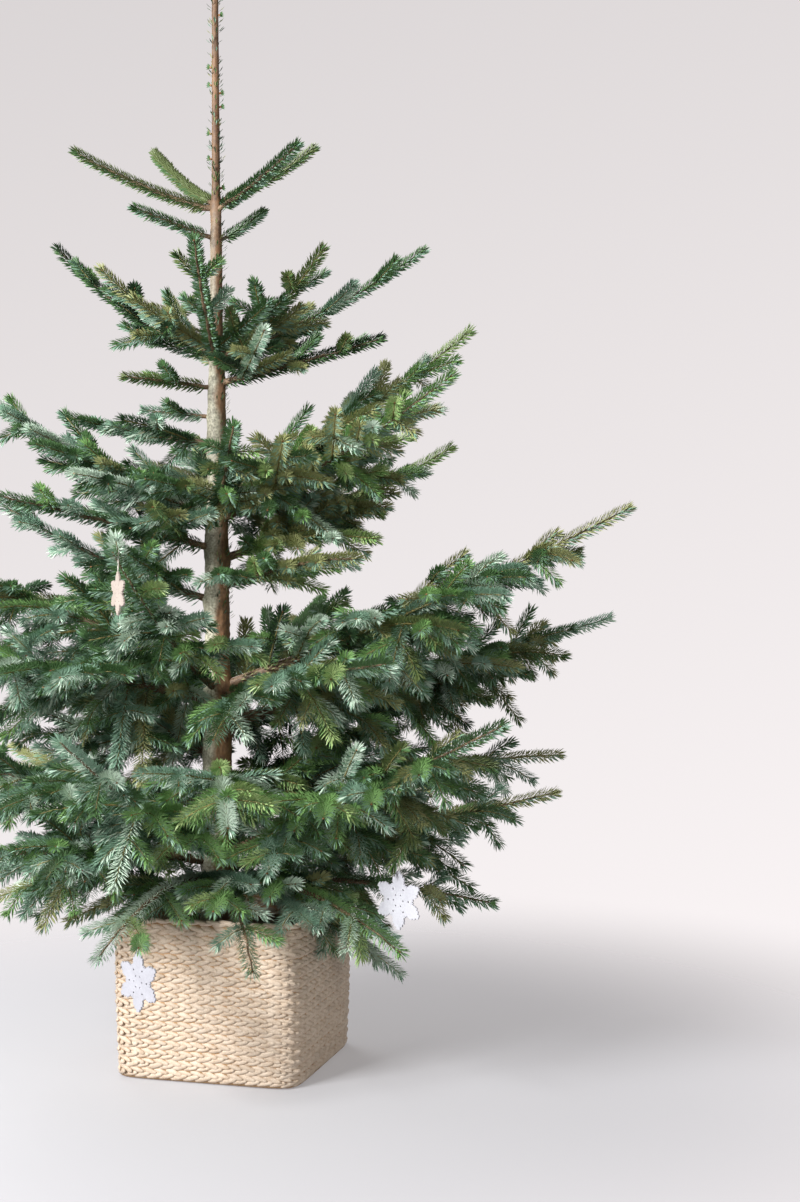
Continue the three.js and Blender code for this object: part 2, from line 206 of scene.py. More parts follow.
# By chance a third twig at a fork stands up, and one hangs
UPRIGHT_CHANCES = {1: 0, 2: 0.4, 3: 0.8, 4: 0.9, 5: 0.75, 6: 0.3}
UPRIGHT_TILT = math.radians(42)
UNDER_CHANCES = {1: 0, 2: 0.1, 3: 0.7, 4: 0.85, 5: 0.75, 6: 0.35}
UNDER_TILT = math.radians(-46)
THIRD_SHARE = 0.58
THIRD_TURN = 0.5
# Twigs between two forks of a bough
BETWEEN_PARTS = {
    2: (0.5,), 3: (0.25, 0.5, 0.75), 4: (0.25, 0.5, 0.75), 5: (0.25, 0.5, 0.75), 6: (0.33, 0.67),
}
BETWEEN_SHARE = 0.55
BETWEEN_SHIFT = 0.08
# Short twigs near the trunk: where on the bough, how long, to which side and at which tilts
INNER_SHARES = (0.13, 0.21, 0.3)
INNER_SHIFT = 0.03
INNER_SIZE = 0.24
INNER_HANDS = (1.3, -1.3)
INNER_TILTS = {3: (-16,), 4: (-32, 32), 5: (24,)}
INNER_TILT_SPREAD = 1.4 * TILT_SPREAD
# A bough that points further forward than this is kept thin up to a share of it, so that the trunk shows
FRONT_MOST = -0.6
FRONT_BARE = 0.4
# What each twig's size is multiplied by at random: the least and the spread
YEAR_PART_VARY = (0.85, 0.3)
FORK_VARY = (0.9, 0.25)
THIRD_VARY = (0.8, 0.5)
INNER_VARY = (0.6, 0.6)
BETWEEN_VARY = (0.7, 0.6)
# A bough with more forks than this is old: it has shed more needles, and has an inner growth
OLD_FORKS = 2
OLD_FADE = 0.45
YOUNG_FADE = 0.1
LEAST_FADE = 0.01
TRUNK_CLEAR = 8
TWIG_THIN = 1.1
TWIG_PER_LENGTH = 0.0062
GROWTH_SEED = 7

# The needles: their sizes, and how many there are, on the old wood too
NEEDLE_LENGTHS = {1: 23, 2: 24, 3: 27, 4: 28, 5: 28, 6: 27}
NEEDLE_WIDTH = 3.3
NEEDLE_WIDEST = 0.6
NEEDLE_FOLD = 0.28
LENGTH_VARY = (0.9, 0.16)
WIDTH_VARY = (0.9, 0.25)
NEEDLES_PER_MM = {1: 2.4, 2: 1.95, 3: 1.6, 4: 1.5, 5: 1.4, 6: 1.6}
FEWEST_NEEDLES = 6
OLD_NEEDLES = 0.45
# The angle between a needle and its shoot: at the sides, on top and at the tip
LEAN_SIDE = math.radians(54)
LEAN_TOP = math.radians(40)
LEAN_TIP = math.radians(30)
LEAN_SPREAD = 0.07
HEADING_SPREAD = 0.035
HEADING_RISE = 0.06
# How far round its shoot a needle stands, and from where it may show its pale underside
ROLL_MOST = math.radians(155)
ROLL_SPREAD = 0.08
GOLDEN = 0.618034
PALE_ROLL = math.radians(95)
PALE_CHANCE = 0.5
# The star at a shoot's tip, and the shorter needles at its root and on top
TIP_STAR = 14
TIP_ZONE = 20
TIP_DEPTH = 4
ROOT_ZONE = 22
ROOT_LENGTH = 0.6
TOP_LENGTH = 0.84
SIDE_LONGER = 0.16
# How deep a needle's foot sits in the wood, and which way its flat side looks
ROOT_SUNK = 0.5
FACE_OUT = 0.6
FACE_UP = 0.4
NEEDLE_SEED = 11


def unit(rows):
    return rows / np.linalg.norm(rows, axis=-1, keepdims=True)


def level_way(turn):
    """The level direction at a turn in degrees."""
    angle = math.radians(turn)
    return np.array([math.cos(angle), math.sin(angle), 0])


def level_ways(angles):
    """Level directions at an array of angles in radians."""
    return np.column_stack([np.cos(angles), np.sin(angles), np.zeros(len(angles))])


def vary(rng, least, spread, count=None):
    """A random number, or a row of them: least, and up to spread more."""
    return least + spread * rng.random(count)


def trunk_centre(height):
    share = (height - FILL_TOP) / (TREE_TOP - FILL_TOP)
    return np.array([TRUNK_PLACE[0] + TRUNK_LEAN * share * share, TRUNK_PLACE[1], height])


def trunk_radius(height):
    return np.interp(height, TRUNK_GIRTH[:, 0], TRUNK_GIRTH[:, 1])


class Shoot:
    """A stem or twig on a curve of three points: bare without needles, then few of them as they fade in."""

    def __init__(self, root, middle, tip, girth, tier, order, bare=0.0, fade=0.0):
        self.root, self.middle, self.tip = root, middle, tip
        self.parent = self.bough = self.group = None
        self.girth = girth
        self.tier = tier
        self.order = order
        self.bare = bare
        self.fade = fade
        self.length = float(np.linalg.norm(np.diff(self.at(np.linspace(0, 1, 9)), axis=0), axis=1).sum())

    def at(self, share):
        s = np.asarray(share, float)[..., None]
        return (1 - s) ** 2 * self.root + 2 * s * (1 - s) * self.middle + s * s * self.tip

    def heading(self, share):
        s = np.asarray(share, float)[..., None]
        return unit((1 - s) * (self.middle - self.root) + s * (self.tip - self.middle))

    def radius(self, share):
        return np.interp(share, *self.girth)


def stem_girth(reach):
    thick = LIMB_THINNEST + LIMB_PER_REACH * reach
    return (0, STEM_SHARE, 1), (thick, STEM_END_RADIUS, STEM_TIP_RADIUS)


def twig_girth(length):
    return (0, 1), (TWIG_THIN + TWIG_PER_LENGTH * length, TWIG_THIN)


def side_heading(heading, angle, tilt):
    """A parent's heading turned aside by an angle, in a flattened spray, and tilted up."""
    side = unit(np.cross(UP, heading))
    level = heading * [1, 1, FLATTEN]
    turned = unit(level * math.cos(angle) + side * math.sin(angle))
    turned[2] += math.tan(tilt)
    return unit(turned)


def fork_shares(forks, bare):
    """Where a bough forks, as shares of its length."""
    if forks == 0:
        return []
    if forks == 1:
        return [ONLY_FORK]
    first = max(bare, LEAST_BARE) + FORK_MARGIN
    step = (STEM_SHARE - FORK_MARGIN / 2 - first) / (forks - 1)
    return [first + step * k for k in range(forks)]


def lateral(parent, share):
    """The size of a side twig whose tip keeps to its parent's outline."""
    return parent.length * (1 - share) * LATERAL_SHARE


def year_length(rng):
    return YEAR_STEP * (1 + YEAR_SPREAD * (rng.random() - 0.5))


def grow_twig(shoots, parent, share, hand, size, tilt, rng):
    """A side twig and, at each of its years' ends, a pair of smaller ones."""
    angle = hand * (FORK_ANGLE + FORK_SPREAD * (rng.random() - 0.5))
    if parent.order == 0:
        tilt += math.radians(RISE_BY_TIER[parent.tier])
    heading = side_heading(parent.heading(share), angle, tilt)
    root = parent.at(share)
    hang = size * vary(rng, *HANG_BY_TIER[parent.tier])
    twig = Shoot(
        root, root + heading * size / 2, root + heading * size - UP * hang,
        twig_girth(size), parent.tier, parent.order + 1,
    )
    twig.parent = parent
    shoots.append(twig)
    left = year_length(rng)
    while left < twig.length * (1 - NODE_CLEAR):
        part = left * LATERAL_SHARE * vary(rng, *YEAR_PART_VARY)
        if part > SHORTEST_TWIG:
            for side in (1, -1):
                tilt = TILT_SPREAD * rng.normal()
                grow_twig(shoots, twig, 1 - left / twig.length, side, part, tilt, rng)
        left += year_length(rng)


def grow_forks(shoots, stem, nodes, in_front, rng):
    """Twigs in pairs at a bough's forks, and by chance one that stands up and one that hangs."""
    for share in nodes:
        for hand in (1, -1):
            size = lateral(stem, share) * vary(rng, *FORK_VARY)
            grow_twig(shoots, stem, share, hand, size, FORK_TILT * rng.normal(), rng)
        size = lateral(stem, share) * THIRD_SHARE
        for chances, tilt in ((UPRIGHT_CHANCES, UPRIGHT_TILT), (UNDER_CHANCES, UNDER_TILT)):
            hidden = in_front and share < FRONT_BARE
            if rng.random() < chances[stem.tier] and size > SHORTEST_TWIG and not hidden:
                hand = THIRD_TURN * vary(rng, -1, 2)
                grow_twig(shoots, stem, share, hand, size * vary(rng, *THIRD_VARY), tilt, rng)


def grow_inner(shoots, stem, rng):
    """Short twigs near the trunk, which hide it."""
    for share, hand, tilt in itertools.product(INNER_SHARES, INNER_HANDS, INNER_TILTS[stem.tier]):
        size = stem.length * INNER_SIZE * vary(rng, *INNER_VARY)
        tilt = math.radians(tilt) + INNER_TILT_SPREAD * rng.normal()
        grow_twig(shoots, stem, share + INNER_SHIFT * rng.normal(), hand, size, tilt, rng)


def grow_between(shoots, stem, nodes, rng):
    """Smaller pairs of twigs between a bough's forks."""
    for low, high in zip(nodes, nodes[1:]):
        for part in BETWEEN_PARTS[stem.tier]:
            share = low + (high - low) * (part + BETWEEN_SHIFT * rng.normal())
            for hand in (1, -1):
                size = lateral(stem, share) * BETWEEN_SHARE * vary(rng, *BETWEEN_VARY)
                if size > SHORTEST_TWIG:
                    grow_twig(shoots, stem, share, hand, size, TILT_SPREAD * rng.normal(), rng)


def grow_bough(shoots, bough, rng):
    out = level_way(bough.turn)
    root = trunk_centre(bough.height)
    stem = Shoot(
        root, root + out * bough.reach / 2 + UP * bough.lift / 2,
        root + out * bough.reach + UP * bough.rise, stem_girth(bough.reach), int(bough.name[0]), 0,
        bare=(trunk_radius(bough.height) + TRUNK_CLEAR) / bough.reach,
        fade=OLD_FADE if bough.forks > OLD_FORKS else YOUNG_FADE,
    )
    stem.bough = bough
    shoots.append(stem)
    nodes = fork_shares(bough.forks, bough.bare)
    grow_forks(shoots, stem, nodes, out[1] < FRONT_MOST, rng)
    if bough.forks > OLD_FORKS and out[1] > FRONT_MOST:
        grow_inner(shoots, stem, rng)
    grow_between(shoots, stem, nodes, rng)


def grow_tree():
    rng = np.random.default_rng(GROWTH_SEED)
    shoots = []
    for bough in BOUGHS:
        grow_bough(shoots, bough, rng)
    return shoots


def into_scene(name, data):
    """A new object in the scene, at the origin, around a mesh, a camera or a lamp."""
    thing = bpy.data.objects.new(name, data)
    bpy.context.scene.collection.objects.link(thing)
    return thing


def mesh_of(name, points, faces, materials, tones=None, smooth=False):
    """A piece from arrays: points in millimetres, and rows of corner numbers of one length."""
    points = np.asarray(points, float) * MM
    faces = np.asarray(faces, np.int32)
    corners = faces.shape[1]
    mesh = bpy.data.meshes.new(name)
    mesh.vertices.add(len(points))
    mesh.vertices.foreach_set("co", points.ravel())
    mesh.loops.add(faces.size)
    mesh.loops.foreach_set("vertex_index", faces.ravel())
    mesh.polygons.add(len(faces))
    mesh.polygons.foreach_set("loop_start", np.arange(0, faces.size, corners, dtype=np.int32))
    if tones is not None:
        mesh.polygons.foreach_set("material_index", np.asarray(tones, np.int32))
    for material in materials:
        mesh.materials.append(material)
    mesh.polygons.foreach_set("use_smooth", np.full(len(faces), smooth))
    mesh.update(calc_edges=True)
    mesh.validate()
    return into_scene(name, mesh)


def between_rings(rings, sides, closed=False):
    """The four corners of each face between rings: two on one ring, and the two next to them."""
    i, j = np.meshgrid(np.arange(rings if closed else rings - 1), np.arange(sides), indexing="ij")
    after = (j + 1) % sides
    above = (i + 1) % rings * sides
    return [corner.ravel() for corner in (i * sides + j, i * sides + after, above + j, above + after)]


def tube_faces(rings, sides):
    """Triangles of a closed tube of rings, whose near and far end points follow the rings."""
    a, b, c, d = between_rings(rings, sides)
    around = np.arange(sides)
    after = (around + 1) % sides
    near_end = np.full(sides, rings * sides)
    last = (rings - 1) * sides
    return np.vstack([
        np.column_stack([a, b, d]), np.column_stack([a, d, c]),
        np.column_stack([near_end, after, around]),
        np.column_stack([near_end + 1, last + around, last + after]),
    ])


def tube_arrays(centres, radii, sides):
    """Points and triangles of a closed tube along centres, ending in points at both ends."""
    axis = unit(np.gradient(centres, axis=0))
    guide = np.where(np.abs(axis[:, 2:3]) > 0.9, [[1.0, 0, 0]], [[0.0, 0, 1.0]])
    side = unit(np.cross(guide, axis))
    top = np.cross(axis, side)
    turn = np.arange(sides) * TAU / sides
    ring = side[:, None] * np.cos(turn)[None, :, None] + top[:, None] * np.sin(turn)[None, :, None]
    rings = centres[:, None] + ring * np.asarray(radii)[:, None, None]
    points = np.vstack([rings.reshape(-1, 3), centres[:1], centres[-1:] + axis[-1:] * radii[-1]])
    return points, tube_faces(len(centres), sides)


class Heap:
    """Closed shapes of one kind, gathered until they are made one mesh."""

    def __init__(self):
        self.points, self.faces, self.tones, self.count = [], [], [], 0

    def add(self, points, faces, tone=0):
        self.points.append(points)
        self.faces.append(faces + self.count)
        self.tones.append(np.full(len(faces), tone) if np.isscalar(tone) else tone)
        self.count += len(points)

    def piece(self, name, materials, smooth=False):
        return mesh_of(
            name, np.vstack(self.points), np.vstack(self.faces), materials,
            np.concatenate(self.tones), smooth,
        )


def needle_arrays(roots, headings, tops, lengths, widths):
    """Needles of two faces each, folded along the keel that runs from root to tip."""
    count = len(roots)
    across = unit(np.cross(headings, tops))
    above = np.cross(across, headings)
    middle = roots + headings * (lengths * NEEDLE_WIDEST)[:, None] + above * (widths * NEEDLE_FOLD)[:, None]
    half = across * (widths / 2)[:, None]
    points = np.stack([roots, roots + headings * lengths[:, None], middle - half, middle + half], axis=1)
    pattern = np.array([[0, 1, 2], [0, 3, 1]])
    faces = pattern[None] + (np.arange(count) * 4)[:, None, None]
    return points.reshape(-1, 3), faces.reshape(-1, 3)


def shoot_needles(shoot, rng):
    """A shoot's needles: combs to both sides, shorter ones on top, and a star at the tip."""
    count = max(FEWEST_NEEDLES, int(shoot.length * (1 - shoot.bare) * NEEDLES_PER_MM[shoot.tier]))
    order = np.arange(count)
    share = shoot.bare + (1 - shoot.bare) * (order + 0.5) / count
    old = np.interp(share, [0, max(shoot.fade, LEAST_FADE)], [OLD_NEEDLES, 1])
    kept = rng.random(count) < old
    spread = ((order * GOLDEN) % 1) * 2 - 1
    roll = np.sign(spread) * ROLL_MOST * np.abs(spread) + ROLL_SPREAD * rng.normal(size=count)
    roll = np.concatenate([roll[kept], rng.random(TIP_STAR) * TAU])
    share = np.concatenate([share[kept], 1 - rng.random(TIP_STAR) * TIP_DEPTH / shoot.length])
    count = len(share)
    axis = shoot.heading(share)
    side = unit(np.cross(UP, axis))
    top = np.cross(axis, side)
    beside = np.clip(np.abs(roll) / (math.pi / 2), 0, 1)
    lean = LEAN_TOP + (LEAN_SIDE - LEAN_TOP) * beside
    near = np.clip((1 - share) * shoot.length / TIP_ZONE, 0, 1)
    lean = LEAN_TIP + (lean - LEAN_TIP) * near + LEAN_SPREAD * rng.normal(size=count)
    radial = top * np.cos(roll)[:, None] + side * np.sin(roll)[:, None]
    heading = axis * np.cos(lean)[:, None] + radial * np.sin(lean)[:, None]
    heading = unit(heading + HEADING_SPREAD * rng.normal(size=(count, 3)) + UP * HEADING_RISE)
    from_root = np.interp(share * shoot.length, [0, ROOT_ZONE], [ROOT_LENGTH, 1])
    length = NEEDLE_LENGTHS[shoot.tier] * (TOP_LENGTH + SIDE_LONGER * beside)
    length = length * from_root * vary(rng, *LENGTH_VARY, count)
    root = shoot.at(share) + radial * (shoot.radius(share) * ROOT_SUNK)[:, None]
    width = NEEDLE_WIDTH * vary(rng, *WIDTH_VARY, count)
    points, faces = needle_arrays(root, heading, radial * FACE_OUT + top * FACE_UP, length, width)
    below = (np.abs(roll) > PALE_ROLL) & (np.abs(roll) < TAU - PALE_ROLL)
    return points, faces, below & (rng.random(count) < PALE_CHANCE)


# Nodes

def add_node(tree, kind, inputs=None, **settings):
    """A node with its settings, and its inputs set to values or fed by the sockets that are given."""
    node = tree.nodes.new(kind)
    for name, value in settings.items():
        setattr(node, name, value)
    for name, value in (inputs or {}).items():
        if isinstance(value, bpy.types.NodeSocket):
            tree.links.new(value, node.inputs[name])
        else:
            node.inputs[name].default_value = value
    return node


def maths(tree, operation, *values):
    """The result of a sum on numbers and sockets."""
    return add_node(tree, "ShaderNodeMath", dict(enumerate(values)), operation=operation).outputs[0]


def triple(tree, x, y, z):
    return add_node(tree, "ShaderNodeCombineXYZ", {"X": x, "Y": y, "Z": z}).outputs[0]


def ranged(tree, value, start, end, to_start, to_end, **settings):
    """A value carried over from one range to another."""
    inputs = {"Value": value, "From Min": start, "From Max": end, "To Min": to_start, "To Max": to_end}
    return add_node(tree, "ShaderNodeMapRange", inputs, **settings).outputs["Result"]


def mixed(tree, share, first, second):
    """A colour between two colours."""
    inputs = {"Factor": share, 6: first, 7: second}
    return add_node(tree, "ShaderNodeMix", inputs, data_type="RGBA").outputs[2]


def dimmed(tree, colour, share):
    """A colour made darker, or paler, by a share."""
    inputs = {0: colour, "Scale": share}
    return add_node(tree, "ShaderNodeVectorMath", inputs, operation="SCALE").outputs["Vector"]


# Materials

def linear(colour):
    """A colour given in 0 to 255 as a screen shows it, in Blender's own numbers."""
    return tuple((c / 255) ** 2.2 for c in colour) + (1,)


def new_material(name, colour=None, roughness=0.5, specular=0.5):
    material = bpy.data.materials.new(name)
    material.use_nodes = True
    surface = surface_of(material)
    surface["Roughness"].default_value = roughness
    surface["Specular IOR Level"].default_value = specular
    if colour:
        surface["Base Color"].default_value = linear(colour)
        material.diffuse_color = linear(colour)
    return material


def surface_of(material):
    return material.node_tree.nodes["Principled BSDF"].inputs


def node_of(material, kind):
    return next(node for node in material.node_tree.nodes if node.type == kind)


def mottle_group():
    """Two sizes of soft spots between two colours, with a height for the bump."""
    group = bpy.data.node_groups.new("mottle", "ShaderNodeTree")
    for name, way, kind in (
        ("Vector", "INPUT", "Vector"), ("Scale", "INPUT", "Float"), ("Fine Scale", "INPUT", "Float"),
        ("Low", "INPUT", "Float"), ("High", "INPUT", "Float"), ("Dark", "INPUT", "Color"),
        ("Light", "INPUT", "Color"), ("Color", "OUTPUT", "Color"), ("Height", "OUTPUT", "Float"),
    ):
        group.interface.new_socket(name, in_out=way, socket_type="NodeSocket" + kind)
    given = group.nodes.new("NodeGroupInput").outputs
    broad, fine = (
        add_node(group, "ShaderNodeTexNoise", {
            "Vector": given["Vector"], "Scale": given[scale], "Detail": 3,
        }) for scale in ("Scale", "Fine Scale")
    )
    both = maths(group, "ADD", broad.outputs["Fac"], fine.outputs["Fac"])
    half = maths(group, "MULTIPLY", both, 0.5)
    share = ranged(group, half, given["Low"], given["High"], 0, 1)
    colour = mixed(group, share, given["Dark"], given["Light"])
    add_node(group, "NodeGroupOutput", {"Color": colour, "Height": half})
    return group


MOTTLE = mottle_group()


def add_mottle(tree, place, dark, light, scale, fine, low, high):
    """The mottle group, placed in a material with its own values."""
    return add_node(tree, "ShaderNodeGroup", {
        "Vector": place, "Scale": scale, "Fine Scale": fine, "Low": low, "High": high,
        "Dark": linear(dark), "Light": linear(light),
    }, node_tree=MOTTLE)


def mottled(name, dark, light, scale, fine, stretch=(1, 1, 1), low=0.38, high=0.62, bump=0.3,
            depth=0.002, roughness=0.6, specular=0.4):
    """A material whose colour and bump both come from the mottle group."""
    material = new_material(name, None, roughness, specular)
    material.diffuse_color = linear(light)
    tree = material.node_tree
    place = tree.nodes.new("ShaderNodeTexCoord").outputs["Object"]
    mapping = add_node(tree, "ShaderNodeMapping", {"Scale": stretch, "Vector": place})
    spots = add_mottle(tree, mapping.outputs["Vector"], dark, light, scale, fine, low, high)
    relief = add_node(tree, "ShaderNodeBump", {
        "Strength": bump, "Distance": depth, "Height": spots.outputs["Height"],
    })
    tree.links.new(spots.outputs["Color"], surface_of(material)["Base Color"])
    tree.links.new(relief.outputs["Normal"], surface_of(material)["Normal"])
    return material


# Where the trunk's grey side ends, in metres, and how grey the bark is before and after that: the silver
# grey towards the window is partly the bark's own colour and partly painted light
LIT_GREY_EDGE = (-0.02, -0.006)
LIT_GREY_SHARES = (0.95, 0.08)
LIT_GREY_WANDER = 0.06
LIT_GREY_PATCHES = 9
# Where the grey gives way to the leader's brown, and where the stem low down gets painted light that makes
# its shade paler
LEADER_ZONE = (1.55, 1.85)
LEADER_GREY = (1, 0.12)
PAINTED_LIGHT_ZONE = (0.9, 1.25)
PAINTED_LIGHT_LIFT = (1.7, 1)


def trunk_material():
    """Smooth fir bark: silver grey on the window side, partly its own colour and partly painted light,
    golden brown on the other, and painted paler low down to lift the shade there.
    """
    material = mottled(
        "trunk_bark", (72, 47, 31), (122, 88, 59), 34, 170, stretch=(1, 1, 0.5), low=0.36, bump=0.5,
    )
    tree = material.node_tree
    brown = node_of(material, "GROUP").outputs["Color"]
    place = node_of(material, "TEX_COORD").outputs["Object"]
    grey = add_mottle(tree, place, (104, 102, 88), (168, 165, 146), 55, 220, 0.36, 0.62)
    # Painted light: the side towards the window, at smaller X, turns silver grey along a wandering edge
    across = add_node(tree, "ShaderNodeSeparateXYZ", {"Vector": place}).outputs
    patches = add_node(tree, "ShaderNodeTexNoise", {"Scale": LIT_GREY_PATCHES, "Vector": place})
    wander = maths(tree, "MULTIPLY_ADD", patches.outputs["Fac"], LIT_GREY_WANDER, across["X"])
    share = maths(
        tree, "MULTIPLY", ranged(tree, wander, *LIT_GREY_EDGE, *LIT_GREY_SHARES),
        ranged(tree, across["Z"], *LEADER_ZONE, *LEADER_GREY),
    )
    colour = mixed(tree, share, brown, grey.outputs["Color"])
    # Painted light: the stem low down is painted up to 1.7 times brighter, lifting the shade among the
    # boughs
    colour = dimmed(tree, colour, ranged(tree, across["Z"], *PAINTED_LIGHT_ZONE, *PAINTED_LIGHT_LIFT))
    tree.links.new(colour, surface_of(material)["Base Color"])
    return material


NEEDLE_TONES = {
    "needle_deep": (50, 74, 50),
    "needle_dark": (78, 110, 68),
    "needle_mid": (116, 154, 92),
    "needle_yellow": (148, 170, 112),
    "needle_olive": (146, 150, 102),
    "needle_blue": (126, 158, 136),
    "needle_silver": (190, 208, 190),
    "needle_moss": (98, 112, 68),
}
DEEP, DARK, MID, YELLOW, OLIVE, BLUE, SILVER, MOSS = range(8)
NEEDLE_SHEEN = (0.42, 0.5)


def needle_materials():
    return [new_material(name, colour, *NEEDLE_SHEEN) for name, colour in NEEDLE_TONES.items()]


def straw_material(name, dark, light):
    return mottled(name, dark, light, 60, 420, low=0.33, high=0.57, bump=0.25, depth=0.0015, specular=0.3)


TINT_FULL = 0.35


def tint_lobes(material, least):
    """Lets each plaited lobe's own tint darken its straw a little."""
    tree = material.node_tree
    tint = add_node(tree, "ShaderNodeAttribute", attribute_name="tint").outputs["Fac"]
    level = ranged(tree, tint, 0, TINT_FULL, least, 1, interpolation_type="SMOOTHSTEP")
    colour = dimmed(tree, node_of(material, "GROUP").outputs["Color"], level)
    tree.links.new(colour, surface_of(material)["Base Color"])
    return material


# The foliage

RIGHT_FROM = 300
RIGHT_SIDE = 30
LEFT_SIDE = -150
# The share of a spray's outer tones, as painted light against the painted shade of the back tones: near the
# trunk, further out, and for each millimetre nearer the front
PAINTED_LIGHT_WITHIN = 0.2
PAINTED_LIGHT_OUTSIDE = 0.6
PAINTED_LIGHT_REACH = 500
PAINTED_LIGHT_PER_DEPTH = 0.0006
# More painted light, in olive tones, for tier three's right side
PAINTED_LIGHT_RIGHT = 0.3
FRONT_TONES = ((DARK, 0.2), (MID, 0.3), (YELLOW, 0.17), (BLUE, 0.19), (SILVER, 0.14))
LEFT_TONES = ((DARK, 0.36), (MID, 0.18), (BLUE, 0.34), (SILVER, 0.12))
LOW_TONES = ((DARK, 0.14), (MID, 0.44), (YELLOW, 0.24), (BLUE, 0.09), (SILVER, 0.09))
RIGHT_TONES = ((DARK, 0.1), (OLIVE, 0.5), (MID, 0.12), (YELLOW, 0.18), (SILVER, 0.1))
HIGH_TONES = ((DARK, 0.24), (MOSS, 0.24), (OLIVE, 0.24), (MID, 0.13), (BLUE, 0.08), (SILVER, 0.07))
TOP_TONES = ((DARK, 0.4), (MOSS, 0.6))
# Painted shade: the deeper tones of sprays within and behind
PAINTED_SHADE_TONES = ((DEEP, 0.2), (DARK, 0.42), (OLIVE, 0.22), (BLUE, 0.16))
UNDERSIDE = {
    DEEP: DARK, DARK: BLUE, MID: BLUE, YELLOW: MID, OLIVE: BLUE, BLUE: SILVER, SILVER: BLUE, MOSS: DARK,
}
# The wood's steps and sides, how a limb wanders and swells, and each bud's length and radius
LIMB_STEPS = 22
LIMB_SIDES = 8
LIMB_WANDER = 0.8
LIMB_KNOBS = 0.08
TWIG_STEP = 32
LONG_TWIG = 120
BUD_SIZE = (6, 1.7)
SIDE_BUD_SIZE = (4.5, 1.6)
SIDE_BUDS_FROM = 90
SIDE_BUD_LEAN = 0.6
BUD_RINGS = np.array([[0.15], [0.6]])
BUD_SWELL = np.array([1.0, 0.8])
BUD_SIDES = 3


def tone_of(shoot, rng):
    """The colour of a spray, as painted light: brighter outside and in front, and in painted shade within
    and behind.
    """
    out = math.hypot(shoot.tip[0] - TRUNK_PLACE[0], shoot.tip[1] - TRUNK_PLACE[1])
    light = PAINTED_LIGHT_WITHIN + PAINTED_LIGHT_OUTSIDE * min(1, out / PAINTED_LIGHT_REACH) - PAINTED_LIGHT_PER_DEPTH * shoot.tip[1]
    # Painted light: tier three's right side is painted brighter and more olive
    if shoot.tier == 3 and shoot.tip[0] > RIGHT_SIDE:
        lit_tones, light = RIGHT_TONES, light + PAINTED_LIGHT_RIGHT
    elif shoot.tier > 2 and shoot.tip[0] < LEFT_SIDE:
        lit_tones = LEFT_TONES
    elif shoot.tier < 4 or shoot.tip[0] > RIGHT_FROM:
        lit_tones = HIGH_TONES
    else:
        lit_tones = LOW_TONES if shoot.tier == 5 else FRONT_TONES
    # Painted light and shade: a spray takes its lit tones by its share of light, else the shaded ones
    table = lit_tones if rng.random() < light else PAINTED_SHADE_TONES
    table = TOP_TONES if shoot.tier == 1 else table
    tones, weights = zip(*table)
    return int(rng.choice(tones, p=np.array(weights) / sum(weights)))


def needle_group(stem):
    """Which needle piece a bough's shoots belong to: by tier, and in the two fullest by side."""
    if stem.tier not in (4, 5):
        return f"needles_{max(stem.tier, 2)}"
    side = "front" if stem.tip[1] < TRUNK_PLACE[1] else "back"
    side = "right" if stem.tip[0] > RIGHT_FROM else side
    return f"needles_{stem.tier}_{side}"


def bud_arrays(place, heading, length, radius):
    return tube_arrays(place + heading * BUD_RINGS * length, BUD_SWELL * radius, BUD_SIDES)


def clear_of_flakes(shoots):
    """Leaves out the twigs that would run through an ornament, and what grows on them."""
    gone, kept = set(), []
    for shoot in shoots:
        path = shoot.at(np.linspace(0, 1, 33))
        hit = id(shoot.parent) in gone
        for flake in FLAKES:
            away = np.cross(level_way(flake.turn), UP)
            offset = path - flake.place
            depth = offset @ away
            flat = np.linalg.norm(offset - depth[:, None] * away, axis=1)
            near = (np.abs(depth) < FLAKE_DEPTH_CLEAR) & (flat < FLAKE_SIDE_CLEAR * flake.across)
            hit = hit or (shoot.order > 0 and near.any())
        if hit:
            gone.add(id(shoot))
        else:
            kept.append(shoot)
    return kept


def carry_flakes(shoots):
    """A twig under the nearest shoot for each ornament, so that its thread has something to hang on."""
    for flake in FLAKES:
        hook = np.array(flake.place) + UP * (flake.across / 2 + flake.thread)
        best = None
        for shoot in shoots:
            spots = shoot.at(np.linspace(*HOOK_SHARES))
            far = np.linalg.norm(spots - hook, axis=1)
            k = int(far.argmin())
            if best is None or far[k] < best[0]:
                best = (far[k], shoot, spots[k])
        far, parent, root = best
        ahead = unit(hook - root + parent.heading(1.0) * 0.5 * far)
        tip = hook + ahead * HOOK_PAST
        twig = Shoot(
            root, (root + hook) / 2 + UP * HOOK_ARCH * far, tip, twig_girth(far),
            parent.tier, parent.order + 1,
        )
        twig.group = parent.group
        shoots.append(twig)


def limb_arrays(stem, rng):
    share = np.linspace(0, 1, LIMB_STEPS)
    centres, radii = stem.at(share), stem.radius(share)
    centres = centres + LIMB_WANDER * rng.normal(size=centres.shape)
    return tube_arrays(centres, radii * (1 + LIMB_KNOBS * rng.normal(size=len(radii))), LIMB_SIDES)


def twig_arrays(shoot):
    share = np.linspace(0, 1, max(3, int(shoot.length / TWIG_STEP)) + 1)
    return tube_arrays(shoot.at(share), shoot.radius(share), 5 if shoot.length > LONG_TWIG else 3)


